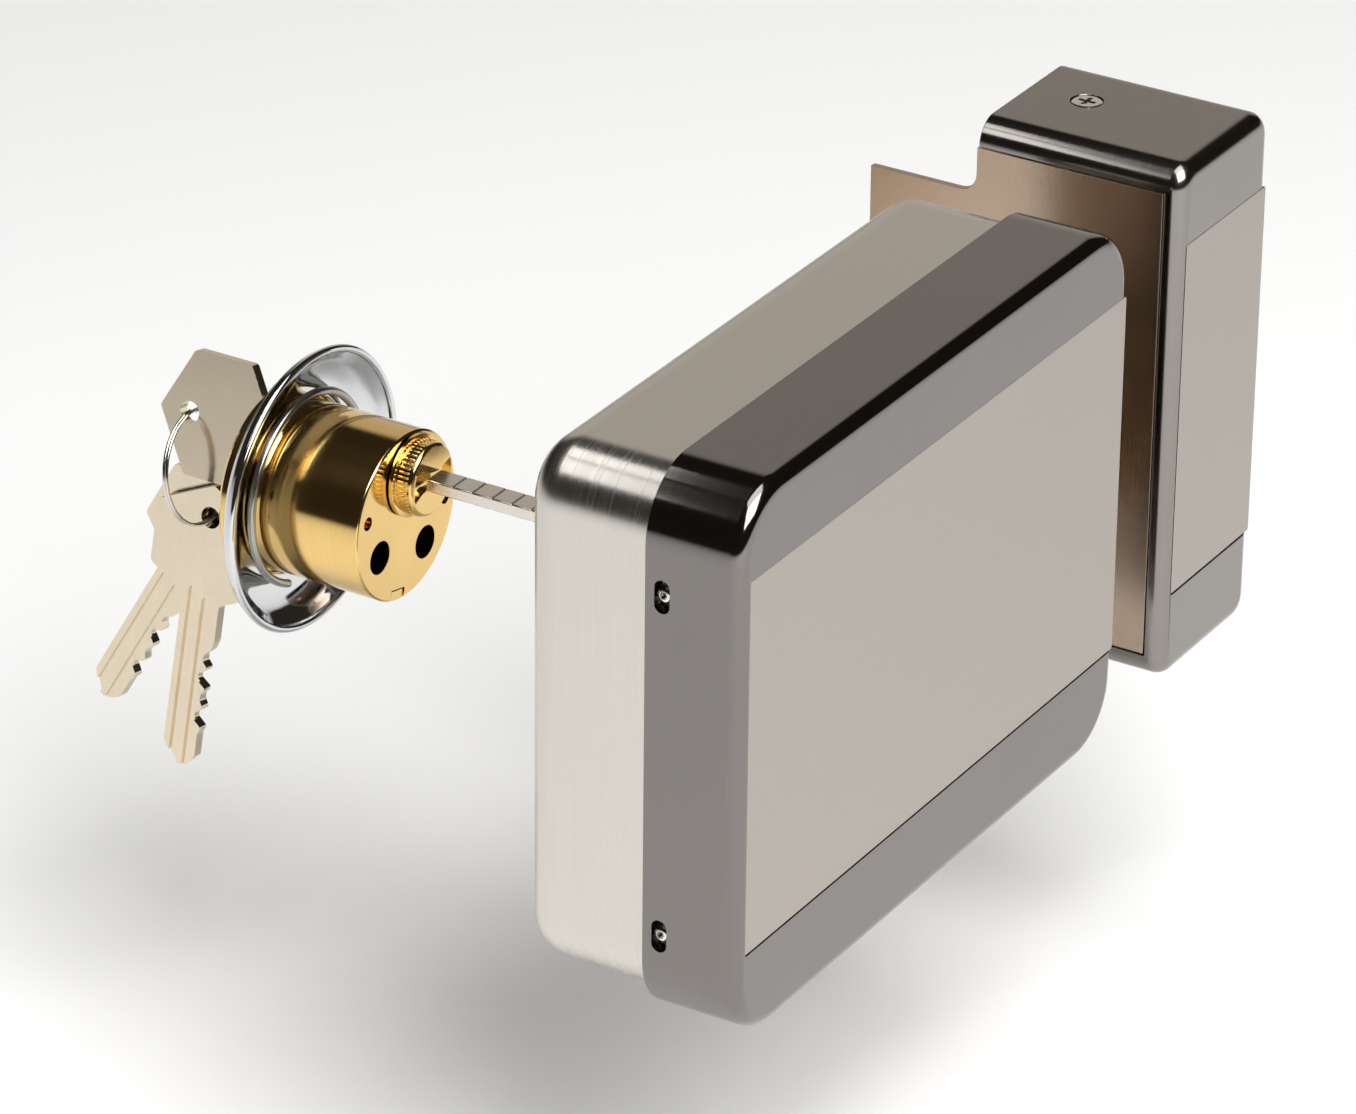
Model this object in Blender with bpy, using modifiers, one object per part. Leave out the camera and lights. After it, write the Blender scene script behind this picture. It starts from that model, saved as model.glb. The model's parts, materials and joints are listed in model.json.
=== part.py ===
"""Rim lock set for a door: a box lock with a spring latch, its keeper and its key cylinder.

Axes: +X runs from the lock towards the keeper, +Y from the room into the door, +Z up.
The origin is where the tailpiece's axis meets the door face, at the centre of the lock's back.
Lengths below are in millimetres.
"""
import math

import bmesh
import bpy
from mathutils import Matrix, Vector

MM = 0.001
GAP = 0.3                       # between pieces that touch on the real lock

# Lock case
CASE_WIDTH = 135.0
CASE_HEIGHT = 105.0
CASE_DEPTH = 44.8
COVER_DEPTH = 18.7
COVER_CORNER = 12.9
COVER_ROLL = 2.7
COVER_WALL = 2.0
HOUSING_INSET = 2.3             # the rear shell is this much smaller on every side
HOUSING_WALL = 1.5
HOUSING_ROLL = 6.6
HOUSING_RIM = -40.0             # the rear shell's open front edge, inside the cover
PANEL_BOTTOM = -34.8
PANEL_TOP = 37.0
RECESS = 1.3
PANEL_SHEET = 0.5
SLOT_WIDTH = 3.0
SLOT_HEIGHT = 6.2
SLOT_Y = -29.4
SLOT_LEVELS = {"upper": 31.2, "lower": -34.0}

# Parts inside the case
CHASSIS_FRONT = -3.6
CHASSIS_SHEET = 1.5
BOLT_HALF_HEIGHT = 11.0
BOLT_FRONT = -24.0
BOLT_BACK = -8.0
BOLT_TIP = 81.2
BOLT_TRAVEL = 16.0
TRIGGER_TIP = 78.0
TRIGGER_LOW = -28.0
TRIGGER_HIGH = -17.0
HUB_RADIUS = 6.0
HUB_ARM = 18.0
TAIL_WIDTH = 5.0
TAIL_THICKNESS = 2.4
COIL_X = -41.0
COIL_Y = -20.0
COIL_Z = -34.0
LEVER_X = -14.0
LEVER_Z = -16.0
LEVER_FRONT = -33.5
LEVER_BACK = -31.5
BOARD_FRONT = -14.0
BOARD_SHEET = 1.6
GROMMET_X = -50.0
GROMMET_Z = -6.0

# Key cylinder, which hangs on the tailpiece behind the door
CYLINDER_TURN = 12.0            # degrees about the plug's axis
CYLINDER_FACE = 65.0
CYLINDER_HEAD = 90.5
CYLINDER_END = 94.0
BODY_RADIUS = 16.25
BODY_DROP = 8.0                 # the body's centre lies this far below the plug
HEAD_RADIUS = 18.6
PLUG_RADIUS = 6.3
KEYWAY_WIDTH = 2.8
KEYWAY_HEIGHT = 9.4
PIN_PITCH = 4.0
PIN_FIRST = 69.0
PIN_COUNT = 5
PIN_RADIUS = 1.35
ROSETTE_RADIUS = 27.25

# Keys
KEY_LENGTH = 57.0
KEY_SHEET = 2.2
BOW_HALF_WIDTH = 12.0
BOW_SIDE_START = 6.5
BOW_SIDE_END = 19.0
BLADE_HALF = 4.2
BOW_HOLE = 2.1
BOW_HOLE_INSET = 6.5
KEY_END = 119.6                 # the outer corner of the bow of the key in the plug
RING_RADIUS = 11.0
RING_WIRE = 0.6
RING_LEAN = -8.0                # degrees about X
KEY_SPLAY = 8.0                 # degrees about Y, the spare keys' tips towards -X

# Keeper
KEEPER_LEFT = 88.8
KEEPER_RIGHT = 123.6
KEEPER_FRONT = -43.95
KEEPER_BACK = -1.7
KEEPER_CORNER = 5.0
KEEPER_ROLL = 3.2
KEEPER_WALL = 2.0
STRIKE_SHEET = 1.4
STRIKE_TAB_END = 21.0
STRIKE_TAB_HALF = 38.2
KEEPER_SCREW_X = 107.7
KEEPER_SCREW_Y = -13.8


def clear_scene():
    """Start from an empty scene."""
    for obj in list(bpy.data.objects):
        bpy.data.objects.remove(obj, do_unlink=True)


def collection(name):
    group = bpy.data.collections.new(name)
    bpy.context.scene.collection.children.link(group)
    return group


clear_scene()
LOCK = collection("rim_lock_set")
TOOLS = collection("cutters")


def material(name, colour, metallic, roughness):
    """A Principled surface from a linear colour."""
    mat = bpy.data.materials.new(name)
    mat.use_nodes = True
    shader = mat.node_tree.nodes["Principled BSDF"]
    shader.inputs["Base Color"].default_value = (*colour, 1.0)
    shader.inputs["Metallic"].default_value = metallic
    shader.inputs["Roughness"].default_value = roughness
    mat.diffuse_color = (*colour, 1.0)
    return mat


DARK_NICKEL = material("dark_nickel", (0.30, 0.29, 0.28), 1.0, 0.12)
SATIN_NICKEL = material("satin_nickel", (0.52, 0.48, 0.43), 1.0, 0.38)
CHROME = material("chrome", (0.62, 0.63, 0.64), 1.0, 0.08)
KEY_NICKEL = material("key_nickel", (0.62, 0.57, 0.50), 1.0, 0.18)
BRASS = material("polished_brass", (0.68, 0.44, 0.14), 1.0, 0.14)
STEEL = material("zinc_plated_steel", (0.50, 0.50, 0.50), 1.0, 0.35)
COPPER = material("copper_winding", (0.55, 0.22, 0.10), 1.0, 0.35)
RUBBER = material("black_rubber", (0.02, 0.02, 0.02), 0.0, 0.8)
PLASTIC_GREEN = material("terminal_green", (0.05, 0.25, 0.10), 0.0, 0.5)
PLASTIC_BLACK = material("relay_black", (0.03, 0.03, 0.03), 0.0, 0.45)
BOARD_GREEN = material("board_green", (0.02, 0.13, 0.05), 0.0, 0.4)


# Building helpers

def add_object(name, mesh, surface):
    """Put a mesh in the lock's collection, or in the cutters' when it has no surface."""
    obj = bpy.data.objects.new(name, mesh)
    if surface is None:
        TOOLS.objects.link(obj)
        obj.hide_render = True
        obj.display_type = "WIRE"
    else:
        LOCK.objects.link(obj)
        obj.data.materials.append(surface)
    return obj


def closed_object(name, bm, surface):
    """Finish a bmesh in metres, with its faces pointing out."""
    bmesh.ops.recalc_face_normals(bm, faces=bm.faces)
    if bm.calc_volume(signed=True) < 0:
        bmesh.ops.reverse_faces(bm, faces=bm.faces)
    mesh = bpy.data.meshes.new(name)
    bm.to_mesh(mesh)
    bm.free()
    return add_object(name, mesh, surface)


def mesh_object(name, bm, surface):
    """Finish a bmesh whose lengths are in millimetres."""
    bm.transform(Matrix.Scale(MM, 4))
    return closed_object(name, bm, surface)


def block_mesh(low, high):
    """A cube stretched between two corners."""
    low = Vector(low)
    high = Vector(high)
    bm = bmesh.new()
    bmesh.ops.create_cube(bm, size=1.0)
    size = high - low
    place = Matrix.Translation((low + high) / 2) @ Matrix.Diagonal((*size, 1.0))
    bm.transform(place)
    return bm


def edges_along(bm, axis):
    """The edges that run parallel to one axis."""
    found = []
    for edge in bm.edges:
        run = (edge.verts[1].co - edge.verts[0].co).normalized()
        if abs(run[axis]) > 0.999:
            found.append(edge)
    return found


def round_edges(bm, edges, radius, segments):
    bmesh.ops.bevel(bm, geom=edges, offset=radius, segments=segments, profile=0.5, affect="EDGES")


def block(name, low, high, surface, rounding=0.0, axis=1):
    """A block, with the edges along one axis rounded if asked."""
    bm = block_mesh(low, high)
    if rounding > 0:
        round_edges(bm, edges_along(bm, axis), rounding, 3)
    return mesh_object(name, bm, surface)


def rod(name, radius, axis, start, stop, centre, surface, sides=24):
    """A round bar along X, Y or Z; centre holds its other two coordinates in axis order."""
    turn = {"X": Matrix.Rotation(math.pi / 2, 4, "Y"),
            "Y": Matrix.Rotation(-math.pi / 2, 4, "X"),
            "Z": Matrix.Identity(4)}[axis]
    middle = (start + stop) / 2
    first, second = centre
    place = {"X": (middle, first, second), "Y": (first, middle, second), "Z": (first, second, middle)}[axis]
    bm = bmesh.new()
    bmesh.ops.create_cone(bm, cap_ends=True, segments=sides, radius1=radius, radius2=radius,
                          depth=abs(stop - start), matrix=Matrix.Translation(place) @ turn)
    return mesh_object(name, bm, surface)


def lathe(name, outline, axis, centre, surface, steps=32):
    """Turn a closed outline of (radius, distance along the axis) points about X or Y."""
    area = 0.0
    for (r0, h0), (r1, h1) in zip(outline, outline[1:] + outline[:1]):
        area += r0 * h1 - r1 * h0
    points = outline if area < 0 else outline[::-1]
    verts = [(r * MM, 0.0, h * MM) for r, h in points]
    edges = [(i, (i + 1) % len(verts)) for i in range(len(verts))]
    mesh = bpy.data.meshes.new(name)
    mesh.from_pydata(verts, edges, [])
    obj = add_object(name, mesh, surface)
    screw = obj.modifiers.new("turn", "SCREW")
    screw.axis = "Z"
    screw.steps = steps
    screw.render_steps = steps
    screw.use_merge_vertices = True
    screw.merge_threshold = 0.000001
    obj.rotation_euler = (0.0, math.pi / 2, 0.0) if axis == "X" else (-math.pi / 2, 0.0, 0.0)
    obj.location = Vector(centre) * MM
    return obj


def arc(centre, radius, start, stop, steps):
    """Points on an arc, angles in degrees."""
    points = []
    for i in range(steps + 1):
        angle = math.radians(start + (stop - start) * i / steps)
        points.append((centre[0] + radius * math.cos(angle), centre[1] + radius * math.sin(angle)))
    return points


def sheet(name, plane, outline, near, far, surface, holes=(), hole_sides=16):
    """A flat outline in the XZ or YZ plane, with a thickness from near to far on the third axis.

    Each hole is (first coordinate, second coordinate, radius).
    """
    curve = bpy.data.curves.new(name, "CURVE")
    curve.dimensions = "2D"
    curve.fill_mode = "BOTH"
    curve.extrude = abs(far - near) / 2 * MM
    loops = [outline]
    for first, second, radius in holes:
        loops.append(arc((first, second), radius, 0, 360, hole_sides)[:-1])
    for loop in loops:
        spline = curve.splines.new("POLY")
        spline.points.add(len(loop) - 1)
        for point, (a, b) in zip(spline.points, loop):
            point.co = (a * MM, b * MM, 0.0, 1.0)
        spline.use_cyclic_u = True
    source = bpy.data.objects.new(name + "_outline", curve)
    LOCK.objects.link(source)
    bpy.context.view_layer.update()
    mesh = bpy.data.meshes.new_from_object(source.evaluated_get(bpy.context.evaluated_depsgraph_get()))
    bpy.data.objects.remove(source, do_unlink=True)
    middle = (near + far) / 2 * MM
    if plane == "XZ":
        place = Matrix.Translation((0.0, middle, 0.0)) @ Matrix.Rotation(math.pi / 2, 4, "X")
    else:
        place = Matrix(((0, 0, 1, middle), (1, 0, 0, 0), (0, 1, 0, 0), (0, 0, 0, 1)))
    bm = bmesh.new()
    bm.from_mesh(mesh)
    bpy.data.meshes.remove(mesh)
    bmesh.ops.remove_doubles(bm, verts=bm.verts, dist=0.000001)
    bm.transform(place)
    return closed_object(name, bm, surface)


def rectangle(left, right, bottom, top):
    return [(left, bottom), (right, bottom), (right, top), (left, top)]


def wire(name, points, radius, surface, closed=False):
    """A bent wire through points in millimetres."""
    curve = bpy.data.curves.new(name, "CURVE")
    curve.dimensions = "3D"
    curve.bevel_depth = radius * MM
    curve.bevel_resolution = 2
    curve.use_fill_caps = not closed
    spline = curve.splines.new("POLY")
    spline.points.add(len(points) - 1)
    for point, place in zip(spline.points, points):
        point.co = (*(Vector(place) * MM), 1.0)
    spline.use_cyclic_u = closed
    return add_object(name, curve, surface)


def combine(target, tool, operation):
    step = target.modifiers.new(tool.name, "BOOLEAN")
    step.operation = operation
    step.solver = "EXACT"
    step.object = tool
    return tool


def cut_block(target, low, high):
    tool = block(target.name + "_window", low, high, None)
    return combine(target, tool, "DIFFERENCE")


def cut_rod(target, radius, axis, start, stop, centre, sides=24):
    tool = rod(target.name + "_hole", radius, axis, start, stop, centre, None, sides)
    return combine(target, tool, "DIFFERENCE")


def shell(name, low, high, corner, roll, open_face, wall, surface):
    """A pan pressed from sheet: corners rounded along Y, a roll round its closed face."""
    bm = block_mesh(low, high)
    round_edges(bm, edges_along(bm, 1), corner, 5)
    order = sorted(bm.faces, key=lambda face: face.calc_center_median().y)
    closed = order[0] if open_face == "+Y" else order[-1]
    round_edges(bm, list(closed.edges), roll, 3)
    order = sorted(bm.faces, key=lambda face: face.calc_center_median().y)
    mouth = order[-1] if open_face == "+Y" else order[0]
    bmesh.ops.delete(bm, geom=[mouth], context="FACES")
    obj = mesh_object(name, bm, surface)
    skin = obj.modifiers.new("wall", "SOLIDIFY")
    skin.thickness = wall * MM
    skin.offset = -1.0
    skin.use_even_offset = True
    return obj


def move_origin(obj, point):
    """Put a straight-built object's origin on its joint."""
    point = Vector(point) * MM
    shift = Matrix.Translation(-point)
    obj.data.transform(shift)
    obj.location = point


# Lock case

def housing():
    """The rear shell, whose flat back lies on the door."""
    half_x = CASE_WIDTH / 2 - HOUSING_INSET
    half_z = CASE_HEIGHT / 2 - HOUSING_INSET
    obj = shell("rear_housing", (-half_x, HOUSING_RIM, -half_z), (half_x, 0.0, half_z),
                COVER_CORNER - HOUSING_INSET, HOUSING_ROLL, "-Y", HOUSING_WALL, SATIN_NICKEL)
    cut_rod(obj, 8.0, "Y", -4.0, 2.0, (0.0, 0.0))
    cut_rod(obj, 6.5, "Y", -4.0, 2.0, (GROMMET_X, GROMMET_Z))
    for x in (-50.0, 50.0):
        for z in (-36.0, 36.0):
            cut_rod(obj, 2.3, "Y", -4.0, 2.0, (x, z), 12)
    for x in (-30.0, 30.0):
        cut_rod(obj, 1.8, "Y", -4.0, 2.0, (x, 38.0), 12)
    cut_block(obj, (60.0, BOLT_FRONT - 0.6, -BOLT_HALF_HEIGHT - 0.6),
              (68.0, BOLT_BACK + 0.6, BOLT_HALF_HEIGHT + 0.6))
    cut_block(obj, (60.0, -20.6, TRIGGER_LOW - 0.6), (68.0, -9.4, TRIGGER_HIGH + 0.6))
    for level in SLOT_LEVELS.values():
        cut_rod(obj, 1.7, "X", -68.0, -60.0, (SLOT_Y, level), 12)


def cover():
    """The front shell, with a shallow field for the brushed panel and two screw slots."""
    half_x = CASE_WIDTH / 2
    half_z = CASE_HEIGHT / 2
    front = -CASE_DEPTH
    obj = shell("front_cover", (-half_x, front, -half_z), (half_x, front + COVER_DEPTH, half_z),
                COVER_CORNER, COVER_ROLL, "+Y", COVER_WALL, DARK_NICKEL)
    cut_block(obj, (-64.6, front - 1.0, PANEL_BOTTOM), (half_x + 2.0, front + RECESS, PANEL_TOP))
    for level in SLOT_LEVELS.values():
        straight = (SLOT_HEIGHT - SLOT_WIDTH) / 2
        right = arc((SLOT_Y, level + straight), SLOT_WIDTH / 2, 0, 180, 6)
        left = arc((SLOT_Y, level - straight), SLOT_WIDTH / 2, 180, 360, 6)
        slot = sheet("cover_slot", "YZ", right + left, -70.0, -64.0, None)
        combine(obj, slot, "DIFFERENCE")


def front_panel():
    """The thin brushed sheet set into the cover's field."""
    face = -CASE_DEPTH + RECESS - GAP - PANEL_SHEET
    block("front_panel", (-64.3, face, PANEL_BOTTOM + GAP),
          (CASE_WIDTH / 2 - 0.6, face + PANEL_SHEET, PANEL_TOP - GAP), SATIN_NICKEL)


def cover_fixings():
    """Grub screws through the cover's slots into threaded lugs inside the housing."""
    for side, level in SLOT_LEVELS.items():
        rod(side + "_cover_screw", 1.25, "X", -67.0, -58.5, (SLOT_Y, level), STEEL, 12)
        lug = block(side + "_screw_lug", (-63.3, SLOT_Y - 4.0, level - 4.5),
                    (-59.5, SLOT_Y + 4.0, level + 4.5), STEEL)
        cut_rod(lug, 1.6, "X", -66.0, -57.0, (SLOT_Y, level), 12)


def chassis():
    """The plate that carries the works, screwed to the housing's back."""
    holes = [(0.0, 0.0, 9.0), (GROMMET_X, GROMMET_Z, 9.0)]
    for x in (-50.0, 50.0):
        holes += [(x, -36.0, 2.6), (x, 36.0, 2.6)]
    holes += [(-30.0, 38.0, 1.8), (30.0, 38.0, 1.8)]
    sheet("chassis_plate", "XZ", rectangle(-59.5, 59.5, -43.0, 43.0),
          CHASSIS_FRONT, CHASSIS_FRONT + CHASSIS_SHEET, STEEL, holes)
    for side, x in (("left", -30.0), ("right", 30.0)):
        head = CHASSIS_FRONT - GAP
        outline = [(0.01, head - 2.0), (2.9, head - 2.0), (2.9, head), (1.4, head), (1.4, -0.3), (0.01, -0.3)]
        lathe(side + "_chassis_screw", outline, "Y", (x, 0.0, 38.0), STEEL, 12)


def bolt_guide():
    """The block just inside the case's edge that steers the latch and the trigger."""
    obj = block("bolt_guide", (50.0, -27.5, -32.0), (62.5, CHASSIS_FRONT - GAP, 15.0), STEEL)
    cut_block(obj, (48.0, BOLT_FRONT - GAP, -BOLT_HALF_HEIGHT - GAP),
              (66.0, BOLT_BACK + GAP, BOLT_HALF_HEIGHT + GAP))
    cut_block(obj, (48.0, -20.3, TRIGGER_LOW - GAP), (66.0, -9.7, TRIGGER_HIGH + GAP))


def latch():
    """The sloped latch and the carriage that draws it back."""
    tip = BOLT_TIP
    slope = [(30.0, BOLT_FRONT), (tip - 1.0, BOLT_FRONT), (tip, BOLT_FRONT + 1.0), (tip, -20.0),
             (68.5, BOLT_BACK), (30.0, BOLT_BACK)]
    bm = bmesh.new()
    base = [bm.verts.new((x, y, -BOLT_HALF_HEIGHT)) for x, y in slope]
    floor = bm.faces.new(base)
    raised = bmesh.ops.extrude_face_region(bm, geom=[floor])
    lifted = [item for item in raised["geom"] if isinstance(item, bmesh.types.BMVert)]
    bmesh.ops.translate(bm, verts=lifted, vec=(0.0, 0.0, 2 * BOLT_HALF_HEIGHT))
    mesh_object("latch_bolt", bm, BRASS)

    back = BOLT_BACK + GAP
    window = rectangle(-HUB_RADIUS - 0.8, BOLT_TRAVEL + HUB_RADIUS + 0.8, -HUB_RADIUS - 0.6, HUB_RADIUS + 0.6)
    plate = sheet("latch_carriage", "XZ", rectangle(-16.0, 46.0, -11.0, 11.0), back, back + 2.0, STEEL)
    opening = sheet("carriage_window", "XZ", window, back - 2.0, back + 4.0, None)
    combine(plate, opening, "DIFFERENCE")
    lug = block("carriage_lug", (-9.6, -15.5, 7.5), (-3.6, back + 1.0, 10.9), None)
    combine(plate, lug, "UNION")


def trigger():
    """The small latch under the main one, pressed in by the keeper as the door shuts."""
    bm = block_mesh((46.0, -20.0, TRIGGER_LOW), (TRIGGER_TIP, -10.0, TRIGGER_HIGH))
    end = sorted(bm.faces, key=lambda face: face.calc_center_median().x)[-1]
    round_edges(bm, list(end.edges), 2.0, 2)
    mesh_object("trigger_bolt", bm, BRASS)


def hub():
    """The turning hub with its arm, its bush and its return spring."""
    boss = rod("latch_hub", HUB_RADIUS, "Y", -24.0, CHASSIS_FRONT - 0.4, (0.0, 0.0), STEEL, 32)
    arm = block("hub_arm", (-2.5, -15.0, 1.0), (2.5, -11.0, HUB_ARM), None)
    combine(boss, arm, "UNION")
    cut_block(boss, (-TAIL_WIDTH / 2 - GAP, -26.0, -TAIL_THICKNESS / 2 - GAP),
              (TAIL_WIDTH / 2 + GAP, 0.0, TAIL_THICKNESS / 2 + GAP))

    inner = HUB_RADIUS + GAP
    flange = CHASSIS_FRONT - GAP
    lathe("hub_bush", [(inner, -5.3), (10.8, -5.3), (10.8, flange), (8.7, flange), (8.7, -1.9), (inner, -1.9)],
          "Y", (0.0, 0.0, 0.0), BRASS, 32)

    turns = 3
    steps = 12
    coil = []
    for i in range(turns * steps + 1):
        angle = 2 * math.pi * i / steps
        coil.append((7.6 * math.cos(angle), -22.6 + 5.4 * i / (turns * steps), 7.6 * math.sin(angle)))
    wire("hub_spring", coil, 0.5, STEEL)

    legs = [(-27.2, -23.5), (-27.2, 23.5), (CHASSIS_FRONT - GAP, 23.5), (CHASSIS_FRONT - GAP, 21.5),
            (-25.2, 21.5), (-25.2, -21.5), (CHASSIS_FRONT - GAP, -21.5), (CHASSIS_FRONT - GAP, -23.5)]
    sheet("hub_bridge", "YZ", legs, -4.0, 4.0, STEEL)


def solenoid():
    """Frame, coil and plunger of the electric release, with the lever that it pulls."""
    ring = rectangle(-58.0, -24.0, -46.0, -22.0)
    frame = sheet("solenoid_frame", "XZ", ring, -30.0, -10.0, STEEL)
    cut_block(frame, (-56.0, -32.0, -44.0), (-26.0, -8.0, -24.0))
    cut_rod(frame, 4.5, "X", -28.0, -22.0, (COIL_Y, COIL_Z))

    end = 14.6
    outline = [(4.4, -end), (9.6, -end), (9.6, -end + 1.4), (8.6, -end + 1.4), (8.6, end - 1.4),
               (9.6, end - 1.4), (9.6, end), (4.4, end)]
    lathe("solenoid_coil", outline, "X", (COIL_X, COIL_Y, COIL_Z), COPPER, 28)

    plunger = rod("solenoid_plunger", 3.9, "X", -48.0, -10.0, (COIL_Y, COIL_Z), STEEL, 20)
    stud = rod("plunger_stud", 1.5, "Y", -34.6, COIL_Y, (LEVER_X, COIL_Z), None, 16)
    combine(plunger, stud, "UNION")

    fork = [(-18.0, -41.0), (-16.1, -41.0), (-16.1, -29.0), (-11.9, -29.0), (-11.9, -41.0), (-10.0, -41.0),
            (-8.0, -16.0), (-4.0, -6.0), (-8.0, -4.0), (-12.0, -10.5), (-19.5, -13.0), (-20.0, -18.0)]
    lever = sheet("release_lever", "XZ", fork, LEVER_FRONT, LEVER_BACK, STEEL, [(LEVER_X, LEVER_Z, 2.8)])
    move_origin(lever, (LEVER_X, LEVER_BACK, LEVER_Z))
    rod("lever_post", 2.5, "Y", -35.5, CHASSIS_FRONT - GAP, (LEVER_X, LEVER_Z), STEEL, 16)


def electronics():
    """Circuit board on two pillars, with a terminal block and a relay, and the cable's grommet."""
    back = BOARD_FRONT + BOARD_SHEET
    sheet("circuit_board", "XZ", rectangle(-60.0, -34.0, 5.5, 44.0), BOARD_FRONT, back, BOARD_GREEN)
    for place, x, z in (("upper", -37.5, 40.5), ("lower", -56.5, 9.0)):
        rod(place + "_board_pillar", 2.2, "Y", back + GAP, CHASSIS_FRONT - GAP, (x, z), STEEL, 6)
    block_front = BOARD_FRONT - GAP
    terminals = block("terminal_block", (-58.0, -24.0, 33.0), (-41.0, block_front, 42.0), PLASTIC_GREEN)
    for x in (-55.4, -49.5, -43.6):
        cut_block(terminals, (x - 2.1, -26.0, 35.2), (x + 2.1, -18.0, 39.8))
    block("relay", (-53.0, -27.0, 13.0), (-38.0, block_front, 27.0), PLASTIC_BLACK)
    lip = -HOUSING_WALL - GAP
    outline = [(4.6, -0.2), (4.6, lip - 2.8), (8.4, lip - 2.8), (8.4, lip), (6.2, lip), (6.2, -0.2)]
    lathe("cable_grommet", outline, "Y", (GROMMET_X, 0.0, GROMMET_Z), RUBBER, 24)


# Key cylinder

def cylinder_seat():
    """The turned seat that every fixed piece of the cylinder follows."""
    seat = bpy.data.objects.new("cylinder_seat", None)
    seat.rotation_euler = (0.0, math.radians(CYLINDER_TURN), 0.0)
    LOCK.objects.link(seat)
    return seat


def cylinder_body():
    """Brass body: plug bore, two screw holes, five pin chambers and the strip that closes them."""
    low = -BODY_DROP
    made = [lathe("cylinder_body", [(0.01, CYLINDER_FACE), (BODY_RADIUS, CYLINDER_FACE),
                                    (BODY_RADIUS, CYLINDER_HEAD), (HEAD_RADIUS, CYLINDER_HEAD),
                                    (HEAD_RADIUS, CYLINDER_END - 0.8), (HEAD_RADIUS - 0.8, CYLINDER_END),
                                    (0.01, CYLINDER_END)], "Y", (0.0, 0.0, low), BRASS, 48)]
    body = made[0]
    made.append(cut_rod(body, PLUG_RADIUS + GAP, "Y", 60.0, 98.0, (0.0, 0.0), 32))
    for x in (-7.6, 7.6):
        made.append(cut_rod(body, 3.2, "Y", 60.0, 86.0, (x, low - 6.5), 20))
    for i in range(PIN_COUNT):
        y = PIN_FIRST + PIN_PITCH * i
        made.append(cut_rod(body, PIN_RADIUS + GAP, "Z", low - 14.6, -4.0, (0.0, y), 12))
    made.append(cut_block(body, (-2.2, CYLINDER_FACE - 1.0, low - 18.0), (2.2, 87.5, low - 14.0)))
    made.append(block("chamber_strip", (-1.9, CYLINDER_FACE + 0.2, low - 16.0),
                      (1.9, 87.2, low - 14.0 - GAP), BRASS))
    for i in range(PIN_COUNT):
        y = PIN_FIRST + PIN_PITCH * i
        made.append(rod("driver_pin_%d" % (i + 1), PIN_RADIUS, "Z", -13.0, -PLUG_RADIUS - 0.6, (0.0, y), STEEL, 10))
    return made


def plug():
    """The turning plug with its keyway, its key pins and the cap that holds the tailpiece."""
    body = rod("cylinder_plug", PLUG_RADIUS, "Y", 61.9, CYLINDER_END, (0.0, 0.0), BRASS, 32)
    made = [body]
    half_width = KEYWAY_WIDTH / 2
    half_height = KEYWAY_HEIGHT / 2
    made.append(cut_block(body, (-half_width, 60.0, -half_height), (half_width, 96.0, half_height)))
    for i in range(PIN_COUNT):
        y = PIN_FIRST + PIN_PITCH * i
        made.append(cut_rod(body, PIN_RADIUS + GAP, "Z", -8.0, -4.0, (0.0, y), 12))
        made.append(rod("key_pin_%d" % (i + 1), PIN_RADIUS, "Z", -6.1, -BLADE_HALF - 0.4, (0.0, y), BRASS, 10))
    inner = PLUG_RADIUS + GAP
    face = 60.3
    cap = lathe("plug_cap", [(0.01, face), (7.1, face), (7.9, face + 0.8), (7.9, 64.7), (inner, 64.7),
                             (inner, 61.6), (0.01, 61.6)], "Y", (0.0, 0.0, 0.0), BRASS, 32)
    made.append(cap)
    return made


def tailpiece():
    """The flat bar from the plug's cap to the hub."""
    block("tailpiece", (-TAIL_WIDTH / 2, -18.0, -TAIL_THICKNESS / 2),
          (TAIL_WIDTH / 2, 60.0, TAIL_THICKNESS / 2), STEEL)


def rosette():
    """The domed ring on the outer door face and the open wire ring that presses on it."""
    low = -BODY_DROP
    rim = 84.6
    outline = [(17.0, 90.1), (20.5, 89.8), (24.0, 88.7), (26.4, 87.0), (ROSETTE_RADIUS, 85.6),
               (ROSETTE_RADIUS, rim), (26.0, rim), (25.4, 86.0), (23.3, 87.6), (20.2, 88.6), (17.0, 88.9)]
    ring = lathe("rosette", outline, "Y", (0.0, 0.0, low), CHROME, 48)
    turn = 40
    points = []
    for i in range(turn + 1):
        angle = math.radians(-50.0 + 320.0 * i / turn)
        points.append((18.2 * math.cos(angle), 86.6, low + 18.2 * math.sin(angle)))
    return [ring, wire("rosette_spring", points, 0.95, STEEL)]


# Keys

def key_outline():
    """Outline of a key: distance from the bow's corner, then distance across."""
    neck = BOW_SIDE_END + (BOW_HALF_WIDTH - BLADE_HALF) / BOW_HALF_WIDTH * BOW_SIDE_START
    points = [(0.0, 0.0), (BOW_SIDE_START, BOW_HALF_WIDTH), (BOW_SIDE_END, BOW_HALF_WIDTH), (neck, BLADE_HALF),
              (KEY_LENGTH - 3.0, BLADE_HALF), (KEY_LENGTH, 0.8), (KEY_LENGTH, -0.8)]
    depths = (1.2, 2.6, 1.6, 2.9, 2.0)
    points.append((KEY_LENGTH - 2.4, -BLADE_HALF + 1.2))
    for i, depth in enumerate(depths):
        bottom = KEY_LENGTH - 6.5 - PIN_PITCH * i
        points.append((bottom + 0.6, -BLADE_HALF + depth))
        points.append((bottom - 0.6, -BLADE_HALF + depth))
        points.append((bottom - 2.0, -BLADE_HALF + 0.6))
    points += [(neck + 1.5, -BLADE_HALF), (neck, -BLADE_HALF), (BOW_SIDE_END, -BOW_HALF_WIDTH),
               (BOW_SIDE_START, -BOW_HALF_WIDTH)]
    return points


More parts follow.
